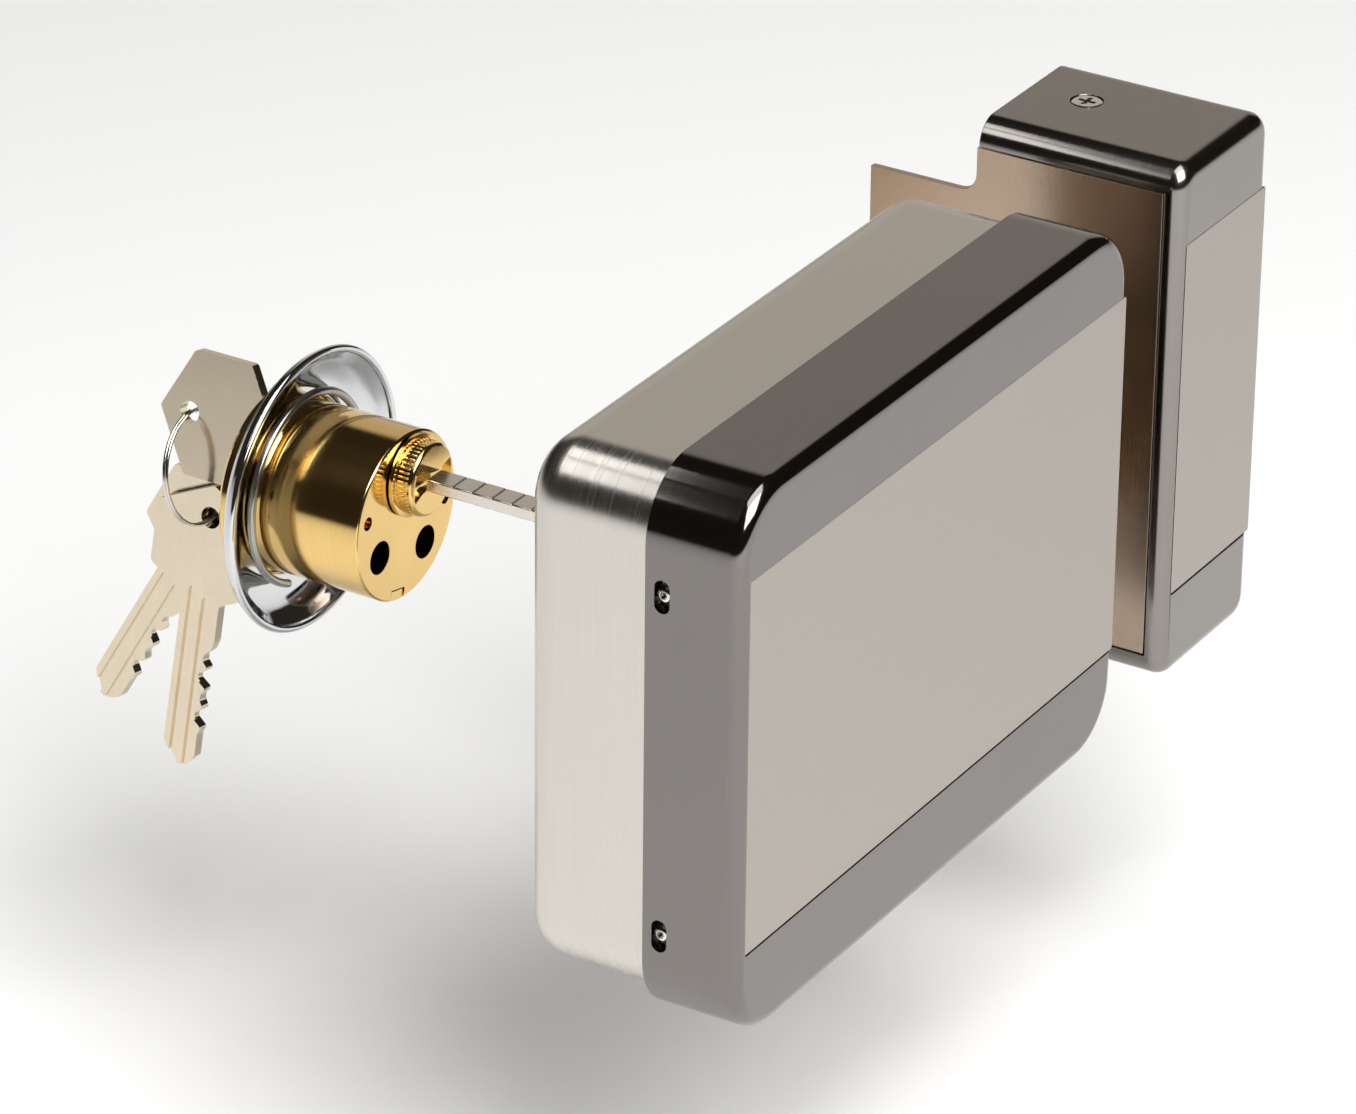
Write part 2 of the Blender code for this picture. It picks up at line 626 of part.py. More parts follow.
def make_key(name, hole, angle, x):
    """A key in a plane across X, its bow's hole at a (Y, Z) point, its blade pointing along angle."""
    lead = Vector((math.cos(math.radians(angle)), math.sin(math.radians(angle))))
    across = Vector((-lead.y, lead.x))
    corner = Vector(hole) - lead * BOW_HOLE_INSET
    outline = [tuple(corner + lead * t + across * w) for t, w in key_outline()]
    key = sheet(name, "YZ", outline, x - KEY_SHEET / 2, x + KEY_SHEET / 2, KEY_NICKEL, [(*hole, BOW_HOLE)])
    move_origin(key, (x, *hole))
    return key


def keys():
    """One key in the plug, a wire ring through its bow and two spare keys hanging on the ring."""
    made = [make_key("plug_key", (KEY_END - BOW_HOLE_INSET, 0.0), 180.0, 0.0)]
    top = Vector((0.0, KEY_END - BOW_HOLE_INSET, 0.0))
    lean = Matrix.Rotation(math.radians(RING_LEAN), 3, "X")
    points = []
    steps = 32
    for i in range(steps):
        angle = 2 * math.pi * i / steps
        arm = Vector((RING_RADIUS * math.sin(angle), 0.0, RING_RADIUS * (math.cos(angle) - 1.0)))
        points.append(top + lean @ arm)
    ring = wire("key_ring", [point - top for point in points], RING_WIRE, STEEL, closed=True)
    ring.location = top * MM
    for name, x, angle in (("spare_key_front", 1.6, -86.0), ("spare_key_rear", 5.0, -62.0)):
        drop = RING_RADIUS + math.sqrt(RING_RADIUS ** 2 - x ** 2)
        centre = top + lean @ Vector((x, 0.0, -drop))
        spare = make_key(name, (centre.y, centre.z), angle, x)
        spare.data.transform(Matrix.Rotation(math.radians(KEY_SPLAY), 4, "Y"))
    return made


# Keeper

def keeper():
    """The box on the door frame: cover, panel, strike plate, pocket, base and screws."""
    half = CASE_HEIGHT / 2
    obj = shell("keeper_cover", (KEEPER_LEFT, KEEPER_FRONT, -half), (KEEPER_RIGHT, KEEPER_BACK, half),
                KEEPER_CORNER, KEEPER_ROLL, "+Y", KEEPER_WALL, DARK_NICKEL)
    cut_block(obj, (KEEPER_LEFT - 2.0, KEEPER_FRONT + 3.8, -47.5), (KEEPER_LEFT + 3.0, 2.0, 47.5))
    cut_block(obj, (KEEPER_LEFT + 2.6, KEEPER_FRONT - 1.0, PANEL_BOTTOM), (KEEPER_RIGHT + 2.0, KEEPER_FRONT + RECESS, PANEL_TOP))
    for side in (-1, 1):
        cut_rod(obj, 3.3, "Z", side * (half - 3.0), side * (half + 1.0), (KEEPER_SCREW_X, KEEPER_SCREW_Y), 20)

    face = KEEPER_FRONT + RECESS - GAP - PANEL_SHEET
    block("keeper_panel", (KEEPER_LEFT + 2.9, face, PANEL_BOTTOM + GAP),
          (KEEPER_RIGHT - 0.6, face + PANEL_SHEET, PANEL_TOP - GAP), SATIN_NICKEL)

    strike()
    pocket_left = KEEPER_LEFT + 0.1 + STRIKE_SHEET + GAP
    pocket = block("bolt_pocket", (pocket_left, -30.0, -16.0), (pocket_left + 20.0, -3.6, 16.0), STEEL)
    cut_block(pocket, (pocket_left - 2.0, -28.0, -14.0), (pocket_left + 18.0, -5.6, 14.0))

    base_holes = [(KEEPER_SCREW_X, -27.0, 2.3), (KEEPER_SCREW_X, 27.0, 2.3)]
    sheet("keeper_base", "XZ", rectangle(pocket_left, KEEPER_RIGHT - KEEPER_WALL - GAP, -44.0, 44.0),
          -3.3, -1.8, STEEL, base_holes)
    for name, side in (("upper", 1), ("lower", -1)):
        lug = block(name + "_keeper_lug", (KEEPER_SCREW_X - 6.0, -20.0, side * 37.0 - 2.0),
                    (KEEPER_SCREW_X + 6.0, -3.6, side * 37.0 + 2.0), STEEL)
        cut_rod(lug, 1.8, "Z", side * 33.0, side * 41.0, (KEEPER_SCREW_X, KEEPER_SCREW_Y), 12)
        top = side * (half - 0.3)
        neck = side * (half - 2.6)
        screw = rod(name + "_keeper_screw", 3.0, "Z", neck, top, (KEEPER_SCREW_X, KEEPER_SCREW_Y), STEEL, 20)
        shank = rod(name + "_screw_shank", 1.4, "Z", side * 34.0, neck + side * 1.0,
                    (KEEPER_SCREW_X, KEEPER_SCREW_Y), None, 12)
        combine(screw, shank, "UNION")


def strike():
    """The strike plate: the keeper's left flank, with a tab that reaches back past the door frame."""
    left = KEEPER_LEFT + 0.1
    half = 47.2
    fillet = 3.5
    back = KEEPER_BACK + 0.4
    upper = arc((back + fillet, STRIKE_TAB_HALF + fillet), fillet, 180, 270, 4)
    lower = [(y, -z) for y, z in upper]
    outline = [(KEEPER_FRONT + 4.1, -half), (back, -half)] + lower
    outline += [(STRIKE_TAB_END, -STRIKE_TAB_HALF), (STRIKE_TAB_END, STRIKE_TAB_HALF)]
    outline += upper[::-1] + [(back, half), (KEEPER_FRONT + 4.1, half)]
    plate = sheet("strike_plate", "YZ", outline, left, left + STRIKE_SHEET, SATIN_NICKEL,
                  [(10.5, -27.0, 2.3), (10.5, 27.0, 2.3)])
    cut_block(plate, (left - 2.0, BOLT_FRONT - 1.5, -BOLT_HALF_HEIGHT - 1.5),
              (left + 4.0, BOLT_BACK + 1.5, BOLT_HALF_HEIGHT + 1.5))


def build():
    housing()
    cover()
    front_panel()
    cover_fixings()
    chassis()
    bolt_guide()
    latch()
    trigger()
    hub()
    solenoid()
    electronics()
    seat = cylinder_seat()
    for piece in cylinder_body() + plug() + rosette() + keys():
        piece.parent = seat
    tailpiece()
    keeper()


build()
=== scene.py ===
# %% [markdown]
# # A rim lock, its keeper and its key cylinder
# The lock is a flat steel box that is screwed to the room side of a door. A spring latch comes out
# of its right end and catches in the keeper, a second box on the door frame. A brass key cylinder
# sits in the outer side of the door and turns the latch through a long flat bar, the tailpiece.
# The cells below give each visible piece its pressed, turned or milled shape and its real metal
# finish. All lengths in the code are written in millimetres and turned to metres once, by `MM`.

import json
import math

import bmesh
import bpy
from mathutils import Matrix, Vector

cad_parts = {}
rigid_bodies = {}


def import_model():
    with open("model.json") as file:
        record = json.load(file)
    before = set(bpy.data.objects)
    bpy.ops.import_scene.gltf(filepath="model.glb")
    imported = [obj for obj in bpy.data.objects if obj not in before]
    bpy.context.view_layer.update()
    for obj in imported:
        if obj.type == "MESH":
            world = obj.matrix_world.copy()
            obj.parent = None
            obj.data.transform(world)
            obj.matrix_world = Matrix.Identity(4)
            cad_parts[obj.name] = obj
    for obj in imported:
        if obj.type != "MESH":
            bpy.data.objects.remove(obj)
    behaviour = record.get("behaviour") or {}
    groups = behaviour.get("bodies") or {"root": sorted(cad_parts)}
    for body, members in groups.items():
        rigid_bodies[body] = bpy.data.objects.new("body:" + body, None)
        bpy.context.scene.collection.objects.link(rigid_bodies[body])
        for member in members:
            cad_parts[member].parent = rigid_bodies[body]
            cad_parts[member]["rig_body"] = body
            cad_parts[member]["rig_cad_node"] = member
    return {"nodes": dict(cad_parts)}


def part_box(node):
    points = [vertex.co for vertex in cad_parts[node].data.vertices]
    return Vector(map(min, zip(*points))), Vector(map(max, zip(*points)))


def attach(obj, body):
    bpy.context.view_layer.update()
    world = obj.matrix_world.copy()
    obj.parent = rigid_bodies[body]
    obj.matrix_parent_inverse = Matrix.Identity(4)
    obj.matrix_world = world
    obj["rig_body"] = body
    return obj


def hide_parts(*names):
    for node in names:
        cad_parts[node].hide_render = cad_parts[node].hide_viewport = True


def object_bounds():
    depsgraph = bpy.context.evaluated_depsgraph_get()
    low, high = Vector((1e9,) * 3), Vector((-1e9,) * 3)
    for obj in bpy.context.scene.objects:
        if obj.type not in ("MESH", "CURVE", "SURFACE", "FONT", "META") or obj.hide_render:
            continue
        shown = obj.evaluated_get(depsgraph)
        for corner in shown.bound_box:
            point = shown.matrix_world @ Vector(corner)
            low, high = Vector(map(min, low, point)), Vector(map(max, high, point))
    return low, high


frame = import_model()
CAD_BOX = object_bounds()
NODES = frame["nodes"]
MM = 0.001

# %% [markdown]
# ## Camera
# A long lens far from the lock keeps opposite edges of a box nearly parallel. The camera looks
# along +X and +Y and down by 27 degrees, so that the left flank, the top and the front of the case
# all show.

# %% Camera
lens = bpy.data.cameras.new("long_lens")
lens.lens = 188.09
lens.sensor_width = 36.0
lens.clip_start = 0.01
camera = bpy.data.objects.new("camera", lens)
heading = Matrix.Rotation(math.radians(-58.895), 4, "Z")
pitch = Matrix.Rotation(math.radians(90.0 - 27.384), 4, "X")
roll = Matrix.Rotation(math.radians(0.597), 4, "Z")
camera.matrix_world = Matrix.Translation((-0.9576, -0.5695, 0.5781)) @ heading @ pitch @ roll
bpy.context.scene.collection.objects.link(camera)
bpy.context.scene.camera = camera
bpy.context.scene.view_settings.view_transform = "Standard"
print("camera at", [round(v, 3) for v in camera.location])

# %% [markdown]
# ## Colours and nodes
# A paint chart gives colours as sRGB hex codes, while a shader wants linear light, so one function
# converts them. A second function adds any node: settings are properties of the node, and each
# input is given either a value or another node's output socket, which is then linked. It serves
# for shaders and for Geometry Nodes alike.

# %% Colour and node helpers
def linear(code):
    """The linear colour of an sRGB hex code."""
    colour = []
    for i in (0, 2, 4):
        c = int(code[i:i + 2], 16) / 255
        colour.append(c / 12.92 if c <= 0.04045 else ((c + 0.055) / 1.055) ** 2.4)
    return (*colour, 1.0)


def add(tree, kind, inputs=None, **settings):
    """Add a node to a tree with its settings, values and links."""
    made = tree.nodes.new(kind)
    for name, value in settings.items():
        setattr(made, name, value)
    for name, value in (inputs or {}).items():
        if isinstance(value, bpy.types.NodeSocket):
            tree.links.new(value, made.inputs[name])
        else:
            made.inputs[name].default_value = value
    return made


print("mid grey 808080 is", round(linear("808080")[0], 3), "in linear light")

# %% [markdown]
# ## Light and floor
# Polished metal has hardly any colour of its own: it shows the room. The flat sides of the lock
# mirror the white floor, and its tops mirror the one grey wall. The rest of the room is black, so
# every rolled edge shows a dark line between a light side and a light top. The room's brightness
# is worked out from the direction alone, with a soft step. The main softbox stands over the lens,
# where no flat side mirrors it, and a second one overhead lightens its shadow. Two narrow strips
# hang close above: one draws the white line on the case's corner and one the line on the keeper's.

# %% Room light
world = bpy.data.worlds.new("light_tent")
world.use_nodes = True
bpy.context.scene.world = world
sky = world.node_tree
sky.nodes.clear()
look = add(sky, "ShaderNodeTexCoord").outputs["Generated"]
wall = Vector((0.86, 0.44, 0.25)).normalized()
along = add(sky, "ShaderNodeVectorMath", {0: look, 1: wall}, operation="DOT_PRODUCT")
edge = add(sky, "ShaderNodeMapRange", {"Value": along.outputs["Value"], "From Min": 0.87, "From Max": 0.95},
           interpolation_type="SMOOTHSTEP")
black, grey = linear("2E2A24"), linear("CAC4BC")
room = add(sky, "ShaderNodeMix", {"Factor": edge.outputs["Result"], 6: black, 7: grey}, data_type="RGBA")
background = add(sky, "ShaderNodeBackground", {"Color": room.outputs[2], "Strength": 1.0})
add(sky, "ShaderNodeOutputWorld", {"Surface": background.outputs["Background"]})
print("room light built with", len(sky.nodes), "nodes")

# %% Floor and softboxes
FLOOR_DROP = 0.045
floor_level = CAD_BOX[0][2] - FLOOR_DROP
lay_down = Matrix.Translation((0, 0, floor_level))
bm = bmesh.new()
bmesh.ops.create_grid(bm, x_segments=1, y_segments=1, size=4.0, matrix=lay_down)
floor_mesh = bpy.data.meshes.new("studio_floor")
bm.to_mesh(floor_mesh)
bm.free()
floor = bpy.data.objects.new("studio_floor", floor_mesh)
bpy.context.scene.collection.objects.link(floor)
paper = bpy.data.materials.new("white_paper_sweep")
paper.use_nodes = True
sheet_shader = paper.node_tree.nodes["Principled BSDF"]
sheet_shader.inputs["Base Color"].default_value = linear("FAFAFA")
sheet_shader.inputs["Roughness"].default_value = 0.9
floor_mesh.materials.append(paper)


def softbox(name, place, aim, width, height, power):
    """A rectangular area light that points at a place."""
    lamp = bpy.data.lights.new(name, "AREA")
    lamp.shape = "RECTANGLE"
    lamp.size = width
    lamp.size_y = height
    lamp.energy = power
    box = bpy.data.objects.new(name, lamp)
    box.location = place
    box.rotation_euler = (Vector(aim) - Vector(place)).to_track_quat("-Z", "Y").to_euler()
    bpy.context.scene.collection.objects.link(box)


softbox("main_softbox", (-0.6, -1.3, 1.7), (0, 0, 0), 1.6, 1.6, 60.0)
softbox("top_softbox", (-0.1, -0.3, 1.8), (0, 0, 0), 1.3, 1.3, 16.0)
softbox("case_strip", (-0.30, 0.277, 0.465), (-0.353, 0.033, 0.05), 0.30, 0.062, 0.24)
softbox("keeper_strip", (-0.04, 0.225, 0.465), (-0.04, -0.01, 0.05), 0.16, 0.05, 0.10)
print("floor at", round(floor_level, 4), "m")

# %% [markdown]
# ## Metal finishes
# Every metal here gets the same build-up, because brushing, tumbling and polishing differ only in
# the size and direction of the marks that they leave. A noise is stretched along the strokes: its
# grain along X, Y and Z is given in millimetres. It shifts the colour and the roughness a little
# and lifts the surface by a few micrometres. A second, cloudy noise stands for handling and uneven
# plating. Real strokes are 0.05 mm wide; most are drawn 0.3 to 0.5 mm wide here so that they show.

# %% A metal with stroke marks
def metal(name, code, roughness, grain, swing=0.08, relief=0.006, cloud=35.0, cloudy=0.3):
    """A metal whose strokes have a grain of so many millimetres along X, Y and Z."""
    surface = bpy.data.materials.new(name)
    surface.use_nodes = True
    tree = surface.node_tree
    shader = tree.nodes["Principled BSDF"]
    shader.inputs["Metallic"].default_value = 1.0
    place = add(tree, "ShaderNodeTexCoord").outputs["Object"]
    scale = [1 / (size * MM) for size in grain]
    stretched = add(tree, "ShaderNodeVectorMath", {0: place, 1: scale}, operation="MULTIPLY")
    strokes = add(tree, "ShaderNodeTexNoise", {"Vector": stretched.outputs[0], "Scale": 1.0, "Detail": 3.0})
    clouds = add(tree, "ShaderNodeTexNoise", {"Vector": place, "Scale": 1 / (cloud * MM), "Detail": 2.0})
    tone = add(tree, "ShaderNodeMix", {"Factor": cloudy, 2: strokes.outputs[0], 3: clouds.outputs[0]})
    base = linear(code)
    shade = add(tree, "ShaderNodeValToRGB", {"Fac": tone.outputs[0]})
    shade.color_ramp.elements[0].position = 0.25
    shade.color_ramp.elements[1].position = 0.75
    shade.color_ramp.elements[0].color = [v * (1 - swing) for v in base[:3]] + [1.0]
    shade.color_ramp.elements[1].color = [min(1.0, v * (1 + swing)) for v in base[:3]] + [1.0]
    rough = add(tree, "ShaderNodeMapRange", {"Value": tone.outputs[0], "From Min": 0.25, "From Max": 0.75,
                                             "To Min": roughness * 0.8, "To Max": roughness * 1.2})
    bump = add(tree, "ShaderNodeBump", {"Height": strokes.outputs[0], "Distance": relief * MM})
    tree.links.new(shade.outputs["Color"], shader.inputs["Base Color"])
    tree.links.new(rough.outputs["Result"], shader.inputs["Roughness"])
    tree.links.new(bump.outputs["Normal"], shader.inputs["Normal"])
    return surface


# Brushed nickel on pressed steel: warm grey, dull along the strokes, which run round the case.
ROUND_BRUSHED = metal("brushed_nickel_round_case", "CAC6BF", 0.25, (30.0, 0.35, 30.0), 0.05, 0.0015)
# The set-in sheets are brushed from end to end, so their strokes lie along X.
LONG_BRUSHED = metal("brushed_nickel_sheet", "ACA59D", 0.36, (26.0, 26.0, 0.33), 0.06, 0.009)
# The strike plate's sheet is brushed up and down; its warm brown tint is a painted reflection of the dark
# case beside it, not the nickel's own colour.
STRIKE_NICKEL_PAINTED_REFLECTION = metal("brushed_nickel_strike_painted_reflection", "B8A492", 0.28, (0.12, 0.12, 60.0), 0.03, 0.001, 45.0, 0.8)
# Black nickel: polished first, then plated, so it mirrors the room in dark grey.
DARK_NICKEL = metal("polished_black_nickel", "7D7976", 0.10, (18.0, 0.5, 18.0), 0.04, 0.0008, 60.0, 0.6)
# The same plating on the keeper, rubbed with a fine pad, which leaves it silky.
SATIN_DARK_NICKEL = metal("satin_black_nickel", "8C8883", 0.17, (16.0, 0.35, 16.0), 0.05, 0.002, 50.0, 0.5)
CHROME = metal("bright_chrome_plate", "D3D4D5", 0.06, (0.4, 0.4, 0.4), 0.03, 0.0006, 25.0, 0.6)
POLISHED_BRASS = metal("polished_turned_brass", "E2C07C", 0.11, (12.0, 0.4, 12.0), 0.07, 0.0015, 14.0, 0.5)
# Keys are tumbled after plating, which leaves short marks in every direction.
KEY_NICKEL = metal("tumbled_nickel_key", "DACDB6", 0.12, (0.5, 1.6, 1.6), 0.06, 0.0025, 9.0, 0.5)
KEY_STEEL = metal("nickelled_split_ring", "CFCCC6", 0.16, (0.5, 0.5, 0.5), 0.05, 0.001, 6.0)
ZINC = metal("zinc_plated_steel", "B8BABC", 0.34, (0.8, 0.8, 0.8), 0.10, 0.003, 9.0, 0.5)
BAR_STEEL = metal("drawn_steel_bar", "D8D1C8", 0.28, (0.3, 14.0, 0.3), 0.08, 0.003, 20.0)
SPRING_STEEL = metal("spring_steel_wire", "A8A6A2", 0.22, (0.5, 0.5, 0.5), 0.08, 0.002, 8.0)
SCREW_STEEL = metal("nickelled_screw", "D6D3CE", 0.14, (0.3, 0.3, 0.3), 0.06, 0.001, 4.0)
COPPER = metal("enamelled_copper_wire", "B8703C", 0.25, (0.3, 0.3, 0.3), 0.10, 0.001, 5.0)
print(len(bpy.data.materials), "materials")

# %% [markdown]
# ## Plastics and rubber
# The terminal block and the relay are moulded in nylon and ABS, which keep the fine spark-eroded
# texture of their mould. The circuit board is glass-fibre laminate under green solder mask: the
# copper tracks below it show as slightly raised, lighter lanes. The grommet is matt rubber.

# %% Moulded finishes
def moulded(name, code, roughness, ior, grain, relief):
    """A plastic or rubber with a pebbled skin; grain and relief are in millimetres."""
    surface = bpy.data.materials.new(name)
    surface.use_nodes = True
    tree = surface.node_tree
    shader = tree.nodes["Principled BSDF"]
    shader.inputs["Roughness"].default_value = roughness
    shader.inputs["IOR"].default_value = ior
    place = add(tree, "ShaderNodeTexCoord").outputs["Object"]
    pebbles = add(tree, "ShaderNodeTexNoise", {"Vector": place, "Scale": 1 / (grain * MM), "Detail": 3.0})
    base = linear(code)
    shade = add(tree, "ShaderNodeValToRGB", {"Fac": pebbles.outputs[0]})
    shade.color_ramp.elements[0].color = [v * 0.75 for v in base[:3]] + [1.0]
    shade.color_ramp.elements[1].color = [min(1.0, v * 1.25) for v in base[:3]] + [1.0]
    bump = add(tree, "ShaderNodeBump", {"Height": pebbles.outputs[0], "Distance": relief * MM})
    tree.links.new(shade.outputs["Color"], shader.inputs["Base Color"])
    tree.links.new(bump.outputs["Normal"], shader.inputs["Normal"])
    return surface


NYLON = moulded("green_nylon_terminals", "2F7A45", 0.45, 1.53, 0.25, 0.02)
ABS = moulded("black_abs_relay", "23211F", 0.38, 1.54, 0.3, 0.02)
RUBBER = moulded("black_rubber_grommet", "1B1A19", 0.75, 1.52, 0.4, 0.04)

SOLDER_MASK = moulded("green_solder_mask", "1F5B33", 0.28, 1.5, 1.2, 0.004)
tree = SOLDER_MASK.node_tree
place = add(tree, "ShaderNodeTexCoord").outputs["Object"]
upright = add(tree, "ShaderNodeSeparateXYZ", {0: place})
flat = add(tree, "ShaderNodeCombineXYZ", {"X": upright.outputs["X"], "Y": upright.outputs["Z"]})
lanes = add(tree, "ShaderNodeTexBrick", {
    "Vector": flat.outputs[0], "Scale": 1 / (10 * MM), "Mortar Size": 0.035, "Brick Width": 0.6,
    "Row Height": 0.2, "Color1": linear("1F5B33"), "Color2": linear("23663A"), "Mortar": linear("4C8F57")})
tree.links.new(lanes.outputs["Color"], tree.nodes["Principled BSDF"].inputs["Base Color"])
print("moulded finishes:", NYLON.name, ABS.name, RUBBER.name, SOLDER_MASK.name)

# %% [markdown]
# ## Outlines
# Most pieces are cut or pressed from sheet, so their shapes start as flat outlines: a circle, a
# rectangle with rounded corners, or a polygon whose corners a tool has softened. The outline is a
# list of points in millimetres, which keeps it easy to reuse for a ring of a pressing, a hole or
# a whole plate.

# %% Outline helpers
def circle(centre, radius, steps=40):
    points = []
    for i in range(steps):
        angle = 2 * math.pi * i / steps
        points.append((centre[0] + radius * math.cos(angle), centre[1] + radius * math.sin(angle)))
    return points


def soften(outline, radius, steps=5):
    """Round every corner of a polygon, less where its sides are short."""
    points = []
    count = len(outline)
    for i, corner in enumerate(outline):
        here = Vector(corner)
        back = Vector(outline[i - 1]) - here
        ahead = Vector(outline[(i + 1) % count]) - here
        half = back.angle(ahead) / 2
        reach = 0.0
        if half < 1.55:
            reach = min(radius / math.tan(half), 0.45 * back.length, 0.45 * ahead.length)
        if reach < 0.001:
            points.append(corner)
            continue
        start = here + back.normalized() * reach
        stop = here + ahead.normalized() * reach
        for k in range(steps + 1):
            t = k / steps
            points.append(tuple(start * (1 - t) ** 2 + here * 2 * t * (1 - t) + stop * t ** 2))
    return points


def rounded(left, right, low, high, radius, steps=12):
    """A rectangle with true quarter circles at its corners."""
    points = []
    for x, z, turn in ((right - radius, high - radius, 0), (left + radius, high - radius, 90),
                       (left + radius, low + radius, 180), (right - radius, low + radius, 270)):
        for i in range(steps + 1):
            angle = math.radians(turn + 90 * i / steps)
            points.append((x + radius * math.cos(angle), z + radius * math.sin(angle)))
    return points


print(len(rounded(-1, 1, -1, 1, 0.2)), "points in a rounded rectangle")

# %% [markdown]
# ## From outline to solid
# Three ways of making cover nearly everything. A plate or a drill is an outline pushed along an
# axis. A turned piece is an outline spun about the Y axis, along which the cylinder lies. A cut is
# a Boolean, applied at once so that no cutter is left in the scene. At the end a small bevel
# catches the light along each edge as on a real pressing, and weighted normals keep the flats flat.

# %% Solid helpers
def new_object(name, bm, place=None):
    """An object from a bmesh in millimetres, with its faces turned outwards."""
    if place:
        bm.transform(place)
    bm.transform(Matrix.Scale(MM, 4))
    bmesh.ops.recalc_face_normals(bm, faces=bm.faces)
    if bm.calc_volume(signed=True) < 0:
        bmesh.ops.reverse_faces(bm, faces=bm.faces)
    mesh = bpy.data.meshes.new(name)
    bm.to_mesh(mesh)
    bm.free()
    obj = bpy.data.objects.new(name, mesh)
    bpy.context.scene.collection.objects.link(obj)
    return obj


def push(name, outline, axis, start, stop, place=None):
    """Push an outline along an axis. Its points are the other two coordinates in axis order."""
    def put(a, b, h):
        return {"X": (h, a, b), "Y": (a, h, b), "Z": (a, b, h)}[axis]
    bm = bmesh.new()
    near = [bm.verts.new(put(a, b, start)) for a, b in outline]
    far = [bm.verts.new(put(a, b, stop)) for a, b in outline]
    bm.faces.new(near)
    bm.faces.new(far[::-1])
    for i in range(len(outline)):
        k = (i + 1) % len(outline)
        bm.faces.new((near[i], far[i], far[k], near[k]))
    return new_object(name, bm, place)


def turned(name, profile, steps=96, place=None):
    """Spin a profile of (radius, y) points about the Y axis; it is closed, or ends on the axis."""
    bm = bmesh.new()
    rings = []
    for radius, y in profile:
        if radius < 0.001:
            rings.append([bm.verts.new((0, y, 0))] * steps)
        else:
            rings.append([bm.verts.new((a, y, b)) for a, b in circle((0, 0), radius, steps)])
    for first, second in zip(rings, rings[1:] + rings[:1]):
        for i in range(steps):
            k = (i + 1) % steps
            loop = list(dict.fromkeys((first[i], first[k], second[k], second[i])))
            if len(loop) > 2:
                bm.faces.new(loop)
    return new_object(name, bm, place)


def settle(obj):
    """Replace an object's mesh by what its modifiers make of it."""
    bpy.context.view_layer.update()
    graph = bpy.context.evaluated_depsgraph_get()
    mesh = bpy.data.meshes.new_from_object(obj.evaluated_get(graph), preserve_all_data_layers=True,
                                           depsgraph=graph)
    obj.modifiers.clear()
    obj.data = mesh


def cut(obj, tool, operation="DIFFERENCE"):
    """Apply a Boolean with a tool, which is thrown away."""
    step = obj.modifiers.new("cut", "BOOLEAN")
    step.operation = operation
    step.solver = "EXACT"
    step.object = tool
    settle(obj)
    bpy.data.objects.remove(tool, do_unlink=True)


def finish_edges(obj, bevel=0.15, segments=2, angle=30):
    """Weld, bevel the sharp edges and shade smooth with the flats kept flat."""
    weld = obj.modifiers.new("weld", "WELD")
    weld.merge_threshold = 0.000001
    if bevel:
        edge = obj.modifiers.new("edge", "BEVEL")
        edge.width = bevel * MM
        edge.segments = segments
        edge.limit_method = "ANGLE"
        edge.angle_limit = math.radians(angle)
        edge.miter_outer = "MITER_ARC"
        edge.use_clamp_overlap = True
    settle(obj)
    obj.data.shade_smooth()
    soft = obj.modifiers.new("soft", "WEIGHTED_NORMAL")
    soft.keep_sharp = True
    soft.weight = 80
    settle(obj)


def install(obj, surface, body, slot, *nodes):
    """Give a finished piece its metal and its body, and hide the solids that it stands for; the slot is not
    used.
    """
    obj.data.materials.clear()
    obj.data.materials.append(surface)
    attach(obj, body)
    if nodes:
        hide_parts(*nodes)
    print(obj.name, "has", len(obj.data.polygons), "faces and stands for", ", ".join(nodes) or "no solid")
    return obj


# %% [markdown]
# ## Pressed pans
# The rear shell, the cover and the keeper's cover are deep drawn: sheet is pushed over a block, so
# the upright corners and the rim of the closed face are rolled, and the wall has one thickness.
# Such a pan is lofted here as a stack of rounded rectangles, first up the outside, round the roll
# and over the face, then the same inside, smaller by the wall. A stack gives clean long quads,
# which mirror the room without the dents that a subdivided box would show.

# %% Pan helper
def pan(name, low, high, corner, roll, wall, face, mouth):
    """A pressed pan whose closed face lies at Y = face and whose open rim lies at Y = mouth."""
    inward = 1 if mouth > face else -1
    bm = bmesh.new()

    def ring(inset, y):
        outline = rounded(low[0] + inset, high[0] - inset, low[1] + inset, high[1] - inset,
                          max(corner - inset, 0.3))
        return [bm.verts.new((x, y, z)) for x, z in outline]

    rings = []
    for skin, radius in ((0.0, roll), (wall, max(roll - wall, 0.3))):
        level = face + inward * skin
        side = [ring(skin, mouth)]
        for i in range(9):
            angle = math.radians(90 * i / 8)
            inset = skin + radius * (1 - math.cos(angle))
            side.append(ring(inset, level + inward * radius * (1 - math.sin(angle))))
        bm.faces.new(side[-1])
        rings.append(side)
    stack = rings[0][::-1] + rings[1]
    for first, second in zip(stack, stack[1:]):
        for i in range(len(first)):
            k = (i + 1) % len(first)
            bm.faces.new((first[i], first[k], second[k], second[i]))
    return new_object(name, bm)


# %% [markdown]
# ## Rear shell
# The shell that lies on the door is brushed nickel. Its back edge has a wide roll of 6.6 mm. It is
# pierced for the tailpiece, the cable, four wall screws and two screws of the works, and its right
# flank has windows for the latch and the trigger. Each hole is an outline pushed through the wall.

# %% Rear shell
COVER_SCREWS = (31.2, -34.0)


def solid_box(node):
    """The low and high corner of a solid in millimetres."""
    low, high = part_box(node)
    return low / MM, high / MM


